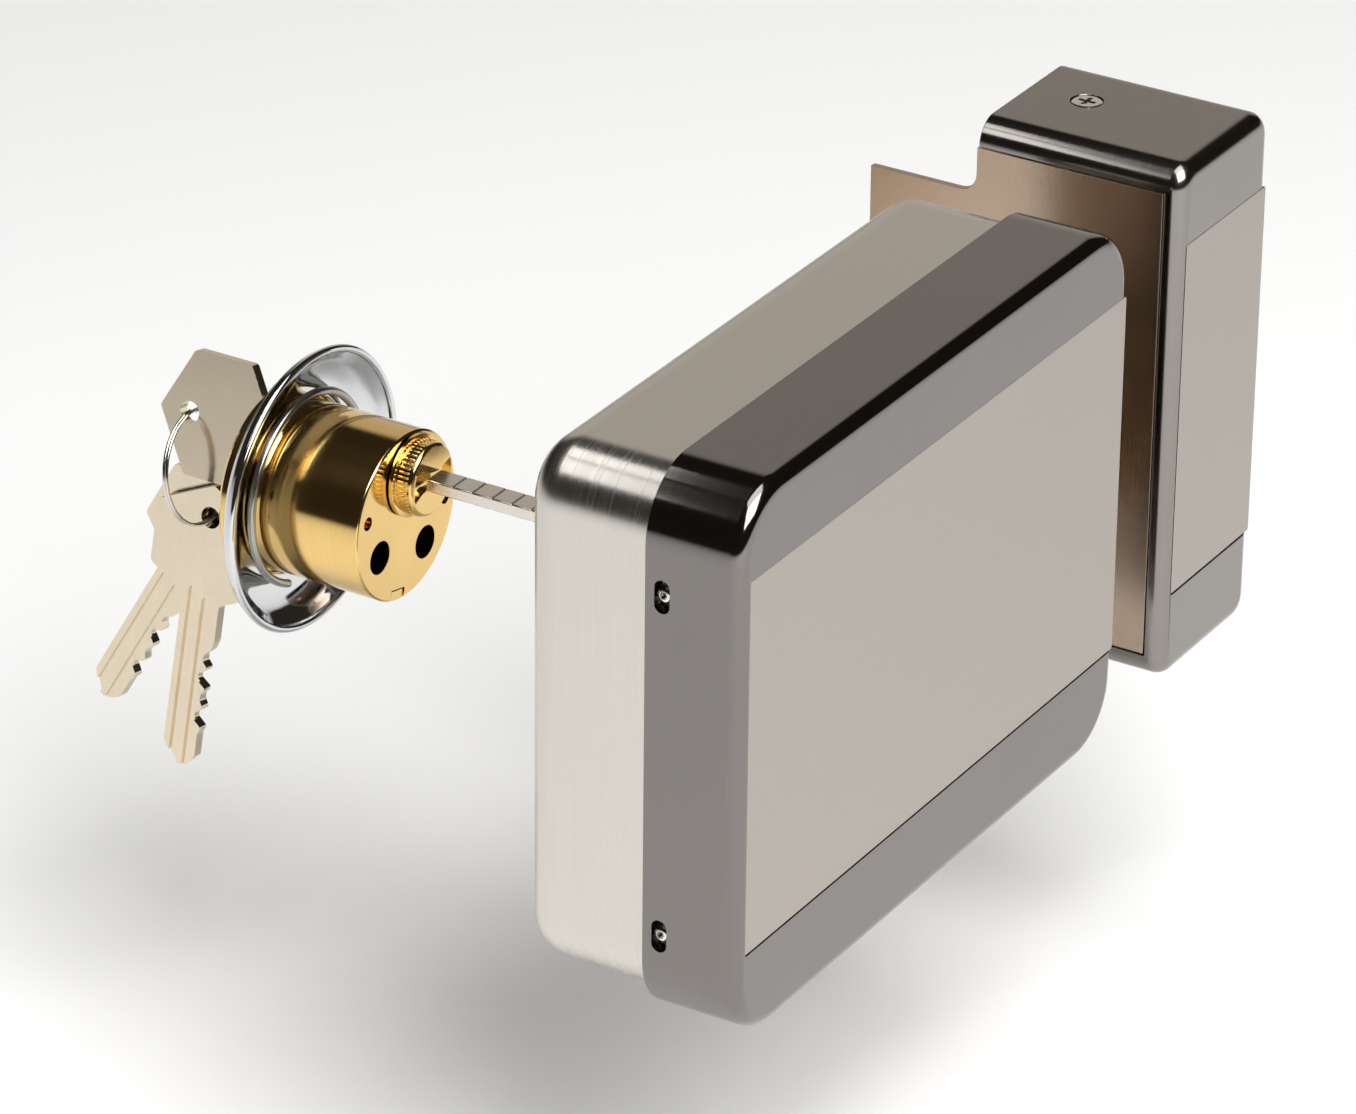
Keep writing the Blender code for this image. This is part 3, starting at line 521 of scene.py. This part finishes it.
low, high = solid_box("rear_housing")
shell = pan("pressed_rear_shell", (low.x, low.z), (high.x, high.z), 10.6, 6.6, 1.5, high.y, low.y)
holes = [((0, 0), 8.0), ((-50, -6), 6.5)]
holes += [((x, z), 2.3) for x in (-50, 50) for z in (-36, 36)]
holes += [((x, 38), 1.8) for x in (-30, 30)]
for centre, radius in holes:
    cut(shell, push("drill", circle(centre, radius), "Y", -4, 2))
cut(shell, push("window", rounded(-24.6, -7.4, -11.6, 11.6, 0.8, 4), "X", 60, 68))
cut(shell, push("window", rounded(-20.6, -9.4, -28.6, -16.4, 0.8, 4), "X", 60, 68))
for level in COVER_SCREWS:
    cut(shell, push("drill", circle((-29.4, level), 1.7, 20), "X", -68, -60))
finish_edges(shell, 0.2)
install(shell, ROUND_BRUSHED, "lock", "satin_nickel", "rear_housing")

# %% [markdown]
# ## Cover
# The cover slides over the shell from the front. It is black nickel, highly polished, with a wide
# shallow field for the brushed sheet that runs out through the right edge. Two upright slots in
# the left flank let a key reach the grub screws that hold it.

# %% Cover
FIELD_LOW, FIELD_HIGH = -34.8, 37.0


def field(left, right):
    """The outline of the shallow field for a set-in sheet."""
    return soften([(left, FIELD_HIGH), (left, FIELD_LOW), (right, FIELD_LOW), (right, FIELD_HIGH)], 0.6, 4)


low, high = solid_box("front_cover")
cover = pan("pressed_cover", (low.x, low.z), (high.x, high.z), 12.9, 2.7, 2.0, low.y, high.y)
cut(cover, push("field", field(-64.6, 72.0), "Y", low.y - 1, low.y + 1.3))
for level in COVER_SCREWS:
    cut(cover, push("slot", rounded(-30.9, -27.9, level - 3.1, level + 3.1, 1.499, 8), "X", -70, -64))
finish_edges(cover, 0.16, 3)
install(cover, DARK_NICKEL, "lock", "dark_nickel", "front_cover")

# %% [markdown]
# ## Set-in sheets
# A half-millimetre sheet of brushed nickel lies in the field of the cover and a matching one in the
# keeper's. They are flat, so their corners and cut edges carry the detail: the shear leaves a small
# radius that shows as a bright line against the dark cover. The sheets fill their fields and stand
# nearly level with the cover, so each is made a little larger and thicker than its solid.

# %% Set-in sheets
for name, node, body in (("brushed_case_sheet", "front_panel", "lock"),
                         ("brushed_keeper_sheet", "keeper_panel", "keeper")):
    low, high = solid_box(node)
    outline = rounded(low.x - 0.25, high.x, low.z - 0.17, high.z + 0.17, 0.6, 5)
    sheet = push(name, outline, "Y", low.y - 0.35, high.y)
    finish_edges(sheet, 0.12, 2)
    install(sheet, LONG_BRUSHED, body, "satin_nickel", node)

# %% [markdown]
# ## Keeper
# The keeper is a smaller pan with tight rolls. Its left flank is cut away, and the strike plate
# fills the gap and reaches back along the edge of the door frame. The plate is 1.4 mm sheet with
# an opening for the latch and two countersunk screw holes.

# %% Keeper cover and strike plate
KEEPER_SCREW = (107.7, -13.8)
low, high = solid_box("keeper_cover")
keeper = pan("pressed_keeper_cover", (low.x, low.z), (high.x, high.z), 5.0, 3.2, 2.0, low.y, high.y)
flank = [(-40.15, -47.5), (2, -47.5), (2, 47.5), (-40.15, 47.5)]
cut(keeper, push("flank", flank, "X", low.x - 2, low.x + 3))
cut(keeper, push("field", field(91.4, 128.0), "Y", low.y - 1, low.y + 1.3))
for side in (-1, 1):
    cut(keeper, push("drill", circle(KEEPER_SCREW, 3.1, 32), "Z", side * 49, side * 54))
finish_edges(keeper, 0.18, 3)
install(keeper, SATIN_DARK_NICKEL, "keeper", "dark_nickel", "keeper_cover")

low, high = solid_box("strike_plate")
upper = [(-39.85, 47.2), (-1.3, 47.2), (-1.3, 41.7)]
for turn in range(15, 90, 15):
    angle = math.radians(turn)
    upper.append((2.2 - 3.5 * math.cos(angle), 41.7 - 3.5 * math.sin(angle)))
upper += [(2.2, 38.2), (21.0, 38.2)]
strike = push("brushed_strike_plate", upper + [(y, -z) for y, z in upper[::-1]], "X", low.x, high.x)
cut(strike, push("opening", rounded(-25.5, -6.5, -12.5, 12.5, 1.0, 5), "X", low.x - 1, high.x + 1))
for z in (-27.0, 27.0):
    cut(strike, push("drill", circle((10.5, z), 2.3, 32), "X", low.x - 1, high.x + 1))
    sink = Matrix.Translation((low.x, 10.5, z)) @ Matrix.Rotation(math.radians(-90), 4, "Z")
    cut(strike, turned("countersink", [(0, -1), (4.6, -1), (2.2, 1.3), (0, 1.3)], 32, sink))
finish_edges(strike, 0.12, 2)
install(strike, STRIKE_NICKEL_PAINTED_REFLECTION, "keeper", "satin_nickel", "strike_plate")

# %% [markdown]
# ## Copies in a row or a ring
# Screws, ribs, coil turns and break-off notches are one small shape repeated with a fixed step or
# a fixed turn. One Geometry Nodes tree does all of them: it lays points on a line, puts a copy of
# the shape on each, turned by its number times the turn, then makes the copies real and gives
# them their metal. With a step of zero and a turn about an axis, the row becomes a ring.

# %% Geometry Nodes tree for copies
row_tree = bpy.data.node_groups.new("row_of_copies", "GeometryNodeTree")
for socket, kind in (("Piece", "Object"), ("Count", "Int"), ("Start", "Vector"), ("Step", "Vector"),
                     ("Turn", "Vector"), ("Metal", "Material")):
    row_tree.interface.new_socket(socket, in_out="INPUT", socket_type="NodeSocket" + kind)
row_tree.interface.new_socket("Geometry", in_out="OUTPUT", socket_type="NodeSocketGeometry")
given = add(row_tree, "NodeGroupInput").outputs
line = add(row_tree, "GeometryNodeMeshLine",
           {"Count": given["Count"], "Start Location": given["Start"], "Offset": given["Step"]})
number = add(row_tree, "GeometryNodeInputIndex")
turn = add(row_tree, "ShaderNodeVectorMath", {0: given["Turn"], "Scale": number.outputs[0]},
           operation="SCALE")
shape = add(row_tree, "GeometryNodeObjectInfo", {"Object": given["Piece"]})
copies = add(row_tree, "GeometryNodeInstanceOnPoints", {
    "Points": line.outputs["Mesh"], "Instance": shape.outputs["Geometry"], "Rotation": turn.outputs[0]})
real = add(row_tree, "GeometryNodeRealizeInstances", {"Geometry": copies.outputs["Instances"]})
coated = add(row_tree, "GeometryNodeSetMaterial",
             {"Geometry": real.outputs["Geometry"], "Material": given["Metal"]})
add(row_tree, "NodeGroupOutput", {"Geometry": coated.outputs["Geometry"]})


def repeat(name, shape, surface, count, start=(0, 0, 0), step=(0, 0, 0), turn=(0, 0, 0)):
    """Copies of a shape as one mesh; start and step in millimetres, turn in degrees."""
    carrier = bpy.data.objects.new(name, bpy.data.meshes.new(name))
    bpy.context.scene.collection.objects.link(carrier)
    row = carrier.modifiers.new("row", "NODES")
    row.node_group = row_tree
    values = {"Piece": shape, "Count": count, "Start": Vector(start) * MM, "Step": Vector(step) * MM,
              "Turn": [math.radians(a) for a in turn], "Metal": surface}
    for item in row_tree.interface.items_tree:
        if item.in_out == "INPUT":
            row[item.identifier] = values[item.name]
    settle(carrier)
    bpy.data.objects.remove(shape, do_unlink=True)
    return carrier


print("tree", row_tree.name, "has", len(row_tree.nodes), "nodes")

# %% [markdown]
# ## Screws
# A screw is turned with a countersunk or a plain head, and its drive is pressed into the head: a
# cross for the keeper's two screws and a hexagon for the grub screws behind the cover's slots.
# The head's top lies at zero and the shank runs along +Y, so that a turn aims it anywhere.

# %% Screws
def screw(name, head, depth, shank, length, drive, place):
    profile = [(0, -0.12), (head - 0.5, -0.1), (head - 0.1, 0.05), (head, 0.3), (shank, depth)]
    y = depth
    while y < length - 1.0:
        profile += [(shank, y + 0.1), (shank - 0.22, y + 0.35), (shank, y + 0.6)]
        y += 0.6
    profile += [(shank * 0.5, length), (0, length)]
    body = turned(name, profile, 32)
    if drive == "cross":
        for width, height in ((0.42, 1.75), (1.75, 0.42)):
            arm = [(-width, -height), (width, -height), (width, height), (-width, height)]
            cut(body, push("drive", soften(arm, 0.3, 3), "Y", -1, 1.5))
    else:
        cut(body, push("drive", circle((0, 0), head * 0.62, 6), "Y", -1, 1.2))
    finish_edges(body, 0.06, 2)
    body.data.transform(place)
    return body


HEAD_LEVEL = 52.38
down = Matrix.Rotation(math.radians(-90), 4, "X")
keeper_screw = screw("cross_screw", 3.0, 2.0, 1.4, 18.0, "cross", down)
screws = repeat("keeper_screws", keeper_screw, SCREW_STEEL, 2, (*KEEPER_SCREW, HEAD_LEVEL),
                (0, 0, -2 * HEAD_LEVEL), (180, 0, 0))
install(screws, SCREW_STEEL, "keeper", "steel", "upper_keeper_screw", "lower_keeper_screw")
inwards = Matrix.Rotation(math.radians(-90), 4, "Z")
grub_screw = screw("grub_screw", 1.25, 0.3, 1.25, 8.5, "hexagon", inwards)
screws = repeat("cover_grub_screws", grub_screw, SCREW_STEEL, 2, (-66.9, -29.4, COVER_SCREWS[0]),
                (0, 0, COVER_SCREWS[1] - COVER_SCREWS[0]))
install(screws, SCREW_STEEL, "lock", "steel", "upper_cover_screw", "lower_cover_screw")

# %% [markdown]
# ## Latch and trigger
# The two bolts are cast brass, ground and polished, with edges eased so that they slide. Their
# solids have the right faces, so each is copied, its loose triangles are welded and merged back to
# flat faces, and then the edges get a fine bevel. A copy is used because the frame stays untouched.

# %% Bolts
def eased(name, node, bevel):
    """A copy of a solid with welded faces and eased edges."""
    obj = NODES[node].copy()
    obj.data = obj.data.copy()
    obj.name = name
    obj.parent = None
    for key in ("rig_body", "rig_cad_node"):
        if key in obj:
            del obj[key]
    bpy.context.scene.collection.objects.link(obj)
    bm = bmesh.new()
    bm.from_mesh(obj.data)
    bmesh.ops.remove_doubles(bm, verts=bm.verts, dist=0.000002)
    bmesh.ops.dissolve_limit(bm, angle_limit=math.radians(1), verts=bm.verts, edges=bm.edges)
    bm.to_mesh(obj.data)
    bm.free()
    finish_edges(obj, bevel, 3)
    return obj


install(eased("sloped_latch", "latch_bolt", 0.5), POLISHED_BRASS, "latch", "brass", "latch_bolt")
install(eased("trigger", "trigger_bolt", 0.3), POLISHED_BRASS, "trigger", "brass", "trigger_bolt")

# %% [markdown]
# ## Cylinder body
# The cylinder is turned from brass bar and polished on the lathe, which leaves fine rings round it.
# The body hangs below the plug and is turned by 12 degrees on its seat. Bored into it are the plug's
# hole, two screw holes, two small dimples from staking and, from below, five pin chambers, which a
# strip in a milled slot closes. The slot's edge is the fine dark line along the body.

# %% Cylinder body
PINS = [69 + 4 * i for i in range(5)]
SEAT = Matrix.Rotation(math.radians(12.0), 4, "Y")
BODY = SEAT @ Matrix.Translation((0, 0, -8.0))
profile = [(0, 65.0), (15.9, 65.0), (16.25, 65.35), (16.25, 90.5), (18.1, 90.5), (18.6, 91.0),
           (18.6, 93.2), (17.8, 94.0), (0, 94.0)]
body = turned("cylinder_barrel", profile, 128, BODY)
cut(body, push("bore", circle((0, 0), 6.6, 64), "Y", 60, 98, SEAT))
for x in (-7.6, 7.6):
    cut(body, push("screw_hole", circle((x, -6.5), 3.2), "Y", 60, 86, BODY))
for x in (-13.0, 13.0):
    cut(body, push("dimple", circle((x, 1.0), 1.3, 24), "Y", 60, 68, BODY))
cut(body, push("slot", [(-2.2, 64), (2.2, 64), (2.2, 87.5), (-2.2, 87.5)], "Z", -26, -14, BODY))
for y in PINS:
    cut(body, push("chamber", circle((0, y), 1.65, 20), "Z", -14.6, 4, BODY))
finish_edges(body, 0.18, 2, 35)
install(body, POLISHED_BRASS, "lock", "brass", "cylinder_body")
curve = []
for turn in range(-6, 7, 2):
    curve.append((16.2 * math.sin(math.radians(turn)), -16.2 * math.cos(math.radians(turn))))
strip = push("chamber_cover_strip", curve + [(1.9, -14.3), (-1.9, -14.3)], "Y", 65.2, 87.2, BODY)
finish_edges(strip, 0.1)
install(strip, POLISHED_BRASS, "lock", "brass", "chamber_strip")

# %% [markdown]
# ## Plug and cap
# The plug turns in the body and has a keyway with two wards, the ribs that only a matching key can
# pass. At its inner end a screwed cap holds the tailpiece. The cap has a thin flange, a collar with
# fine ribs for the fingers and a bow-tie recess, in which the bar can swing a little in the plug.

# %% Plug and cap
plug = turned("keyed_plug", [(0, 61.9), (6.3, 61.9), (6.3, 93.6), (5.9, 94.0), (0, 94.0)], 64, SEAT)
keyway = [(-1.4, -4.7), (1.4, -4.7), (1.4, -0.8), (0.85, -0.5), (0.85, 0.5), (1.4, 0.8),
          (1.4, 4.7), (-1.4, 4.7), (-1.4, 2.3), (-0.85, 2.0), (-0.85, 1.0), (-1.4, 0.7)]
cut(plug, push("keyway", keyway, "Y", 60, 96, SEAT))
for y in PINS:
    cut(plug, push("chamber", circle((0, y), 1.65, 20), "Z", -8, -4, SEAT))
finish_edges(plug, 0.12, 2, 35)
install(plug, POLISHED_BRASS, "turning_plug", "brass", "cylinder_plug")

profile = [(0, 60.3), (6.4, 60.3), (6.9, 60.7), (7.0, 61.0), (7.0, 63.9), (7.9, 63.9), (7.9, 64.7),
           (6.6, 64.7), (6.6, 61.6), (0, 61.6)]
cap = turned("ribbed_cap", profile, 96, SEAT)
bow_tie = [(-5.4, -3.6), (-1.6, -1.5), (1.6, -1.5), (5.4, -3.6), (5.9, 0), (5.4, 3.6),
           (1.6, 1.5), (-1.6, 1.5), (-5.4, 3.6), (-5.9, 0)]
cut(cap, push("recess", soften(bow_tie, 0.5, 3), "Y", 59, 61.2, SEAT))
finish_edges(cap, 0.12, 2, 35)
install(cap, POLISHED_BRASS, "turning_plug", "brass", "plug_cap")
RIBS = 48
rib = push("rib", soften([(6.9, -0.22), (7.1, -0.14), (7.1, 0.14), (6.9, 0.22)], 0.1, 2), "Y", 61.3, 63.6)
finish_edges(rib, 0.04, 1)
ribs = repeat("cap_ribs", rib, POLISHED_BRASS, RIBS, turn=(0, 360 / RIBS, 0))
install(ribs, POLISHED_BRASS, "turning_plug", "brass")

# %% [markdown]
# ## Tailpiece
# The tailpiece is a drawn steel bar, 5 mm by 2.4 mm. Across both wide faces run notches, a few
# millimetres apart, where the fitter snaps it off to suit the thickness of the door. The notches
# are copies of one V-shaped cutter, taken out of the bar in a single cut for each side.

# %% Tailpiece
low, high = solid_box("tailpiece")
bar = push("notched_tailpiece", rounded(low.x, high.x, low.z, high.z, 0.3, 4), "Y", low.y, high.y)
for side in (-1, 1):
    notch = push("notch", [(-0.35, side * 1.4), (0.0, side * 0.85), (0.35, side * 1.4)], "X", -3, 3)
    cut(bar, repeat("notches", notch, BAR_STEEL, 13, (0, 4, 0), (0, 4.2, 0)))
finish_edges(bar, 0.08, 2)
install(bar, BAR_STEEL, "turning_plug", "steel", "tailpiece")

# %% [markdown]
# ## Rosette and its spring
# The rosette is a chromed ring, pressed to a shallow dome whose hollow side faces the door, with
# its edge rolled to a bead. Its section is drawn with a smooth curve through a few measured points.
# An open ring of spring wire lies in the hollow and keeps the rosette pressed on the door.

# %% Rosette and spring
def through(points, steps=6):
    """A smooth curve through points, by the Catmull-Rom rule."""
    points = [Vector(p) for p in points]
    ends = [2 * points[0] - points[1]] + points + [2 * points[-1] - points[-2]]
    path = []
    for a, b, c, d in zip(ends, ends[1:], ends[2:], ends[3:]):
        for k in range(steps):
            t = k / steps
            bend = (2 * a - 5 * b + 4 * c - d) * t ** 2 + (3 * b - a - 3 * c + d) * t ** 3
            path.append(0.5 * (2 * b + (c - a) * t + bend))
    return path + [points[-1]]


def wire(name, points, radius, closed=False):
    """A round wire through points in millimetres."""
    line = bpy.data.curves.new(name, "CURVE")
    line.dimensions = "3D"
    line.bevel_depth = radius * MM
    line.bevel_resolution = 4
    line.use_fill_caps = not closed
    spline = line.splines.new("POLY")
    spline.points.add(len(points) - 1)
    for point, place in zip(spline.points, points):
        point.co = (*(Vector(place) * MM), 1.0)
    spline.use_cyclic_u = closed
    obj = bpy.data.objects.new(name, line)
    bpy.context.scene.collection.objects.link(obj)
    bpy.context.view_layer.update()
    graph = bpy.context.evaluated_depsgraph_get()
    mesh = bpy.data.meshes.new_from_object(obj.evaluated_get(graph), depsgraph=graph)
    bpy.data.objects.remove(obj, do_unlink=True)
    mesh.shade_smooth()
    made = bpy.data.objects.new(name, mesh)
    bpy.context.scene.collection.objects.link(made)
    return made


outer = through([(17.0, 90.1), (20.5, 89.75), (24.0, 88.7), (26.2, 87.1), (27.1, 85.7)])
bead = []
for turn in range(10, -201, -15):
    bead.append((26.55 + 0.7 * math.cos(math.radians(turn)), 85.3 + 0.7 * math.sin(math.radians(turn))))
inner = through([(25.2, 86.1), (23.3, 87.5), (20.2, 88.55), (17.0, 88.9)])
rosette = turned("domed_rosette", [tuple(p) for p in outer] + bead + [tuple(p) for p in inner], 144, BODY)
finish_edges(rosette, 0.1, 2, 50)
install(rosette, CHROME, "lock", "chrome", "rosette")

path = []
for i in range(97):
    angle = math.radians(-46.0 + 306.0 * i / 96)
    path.append((18.2 * math.cos(angle), 86.6, 18.2 * math.sin(angle)))
angle = math.radians(-52.0)
hook = []
for reach, y in ((20.9, 85.2), (19.9, 85.4), (18.9, 86.0)):
    hook.append((reach * math.cos(angle), y, reach * math.sin(angle)))
spring = wire("rosette_wire_spring", [BODY @ Vector(p) for p in through(hook + path[1:])], 0.8)
install(spring, SPRING_STEEL, "lock", "steel", "rosette_spring")

# %% [markdown]
# ## Keys
# The keys are stamped from 2.2 mm nickel-plated brass. A six-cornered bow with a hole carries the
# ring; the blade has cuts for the five pins along one edge and milled grooves in both sides, whose
# rounded ends by the shoulder are left by the cutter. One function makes the key flat, with its
# bow's corner at zero and its blade along the first axis, and a matrix lays it on its place. The
# two spare keys hang a little askew on the ring.

# %% Key maker
HOLE = 6.5
CUTS = (1.2, 2.6, 1.6, 2.9, 2.0)
GROOVES = ((1, 22.5, 0.3, 1.15), (-1, 21.0, 1.9, 0.95), (-1, 22.5, -1.1, 0.8))


def make_key(name, hole, angle, x, body, node, seat=Matrix(), tilt=0.0):
    """Hole is the (y, z) of the bow's hole, angle the blade's direction from +Y towards +Z."""
    shape = [(0, 0), (6.5, 12), (19, 12), (23.2, 4.2), (53.5, 4.2), (57, 0.9), (57, -0.9), (54.6, -3.0)]
    for i, depth in enumerate(CUTS):
        shape += [(51.1 - 4 * i, depth - 4.2), (49.9 - 4 * i, depth - 4.2), (48.5 - 4 * i, -3.6)]
    shape += [(30.5, -4.2), (23.2, -4.2), (19, -12), (6.5, -12)]
    key = push(name, soften(shape, 0.9, 4), "Z", -1.1, 1.1)
    cut(key, push("hole", circle((HOLE, 0), 2.1), "Z", -2, 2))
    for side, start, centre, half in GROOVES:
        groove = rounded(start, 70, centre - half, centre + half, half - 0.01, 6)
        cut(key, push("groove", groove, "Z", side * 0.55, side * 2))
    finish_edges(key, 0.14, 2, 25)
    lead = Vector((0, math.cos(math.radians(angle)), math.sin(math.radians(angle))))
    across = Vector((0, -lead.z, lead.y))
    lay = Matrix(((*lead, 0), (*across, 0), (1, 0, 0, 0), (0, 0, 0, 1))).transposed()
    turn = Matrix.Rotation(math.radians(tilt), 4, "Y")
    hang = Matrix.Translation(Vector((x, *hole)) * MM)
    key.data.transform(seat @ hang @ turn @ Matrix.Translation(-lead * HOLE * MM) @ lay)
    install(key, KEY_NICKEL, body, "key_nickel", node)


BOW = Vector((0, 113.1, 0))
LEAN = Matrix.Rotation(math.radians(-8.0), 3, "X")
RING = 11.0
make_key("key_in_plug", BOW.yz, 180.0, 0.0, "inserted_key", "plug_key", SEAT)
for name, node, body, x, angle in (("front_spare_key", "spare_key_front", "front_key", 1.6, -86.0),
                                   ("rear_spare_key", "spare_key_rear", "rear_key", 5.0, -62.0)):
    hang = BOW + LEAN @ Vector((x, 0, -RING - math.sqrt(RING ** 2 - x ** 2)))
    make_key(name, hang.yz, angle, x, body, node, tilt=8.0)

# %% [markdown]
# ## Split ring
# The ring is two turns of springy wire pressed together, so a key can be threaded on between them.
# It is a short helix, drawn as a curve with a round section.

# %% Split ring
coil = []
for i in range(145):
    angle = 4 * math.pi * i / 144
    arm = Vector((RING * math.sin(angle), 0.6 * (i / 72 - 1), RING * (math.cos(angle) - 1)))
    coil.append(BOW + LEAN @ arm)
install(wire("split_ring", coil, 0.32), KEY_STEEL, "ring", "steel", "key_ring")

# %% [markdown]
# ## Winding and terminal screws
# Inside the case, the release's coil is wound with enamelled wire on a nylon bobbin, and three
# slotted screws clamp the supply wires in the terminal block. The turns of wire and the screws are
# rows of copies again. The bobbin is turned about the coil's own axis.

# %% Winding and terminal screws
AXIS = Matrix.Translation((-41, -20, -34)) @ Matrix.Rotation(math.radians(-90), 4, "Z")
profile = [(4.4, -14.6), (9.6, -14.6), (9.6, -13.2), (5.4, -13.2)]
bobbin = turned("coil_bobbin", profile + [(r, -y) for r, y in profile[::-1]], 48, AXIS)
finish_edges(bobbin, 0.2)
install(bobbin, NYLON, "lock", "copper")
loop = wire("wire_turn", [(0, y, z) for y, z in circle((0, 0), 8.05)], 0.52, True)
winding = repeat("coil_winding", loop, COPPER, 26, (-53.6, -20, -34), (1.008, 0, 0))
install(winding, COPPER, "lock", "copper", "solenoid_coil")
clamp = turned("clamp_screw", [(0, 0), (1.5, 0), (1.6, 0.2), (1.6, 1.2), (0, 1.2)], 24)
cut(clamp, push("slot", [(-2, -0.25), (2, -0.25), (2, 0.25), (-2, 0.25)], "Y", -1, 0.6))
finish_edges(clamp, 0.05, 1)
clamps = repeat("terminal_clamp_screws", clamp, SCREW_STEEL, 3, (-55.4, -19.6, 37.5), (5.9, 0, 0))
install(clamps, SCREW_STEEL, "lock", "steel")

# %% [markdown]
# ## Works inside the case
# The other solids already have the right shape, so they stay and only get their finish. Plates and
# posts are zinc-plated steel, the bush and the key pins are brass, and the springs are spring steel.

# %% Finishes of the works
FINISHES = {"hub_spring": SPRING_STEEL, "hub_bush": POLISHED_BRASS, "terminal_block": NYLON, "relay": ABS,
            "cable_grommet": RUBBER, "circuit_board": SOLDER_MASK}
for i in range(1, 6):
    FINISHES["key_pin_%d" % i] = POLISHED_BRASS
for name, obj in NODES.items():
    if not obj.hide_render:
        for holder in obj.material_slots:
            holder.material = FINISHES.get(name, ZINC)
print(sum(not obj.hide_render for obj in NODES.values()), "solids keep their own shape")

# %% [markdown]
# ## End

# %% Finish
print("build finished")
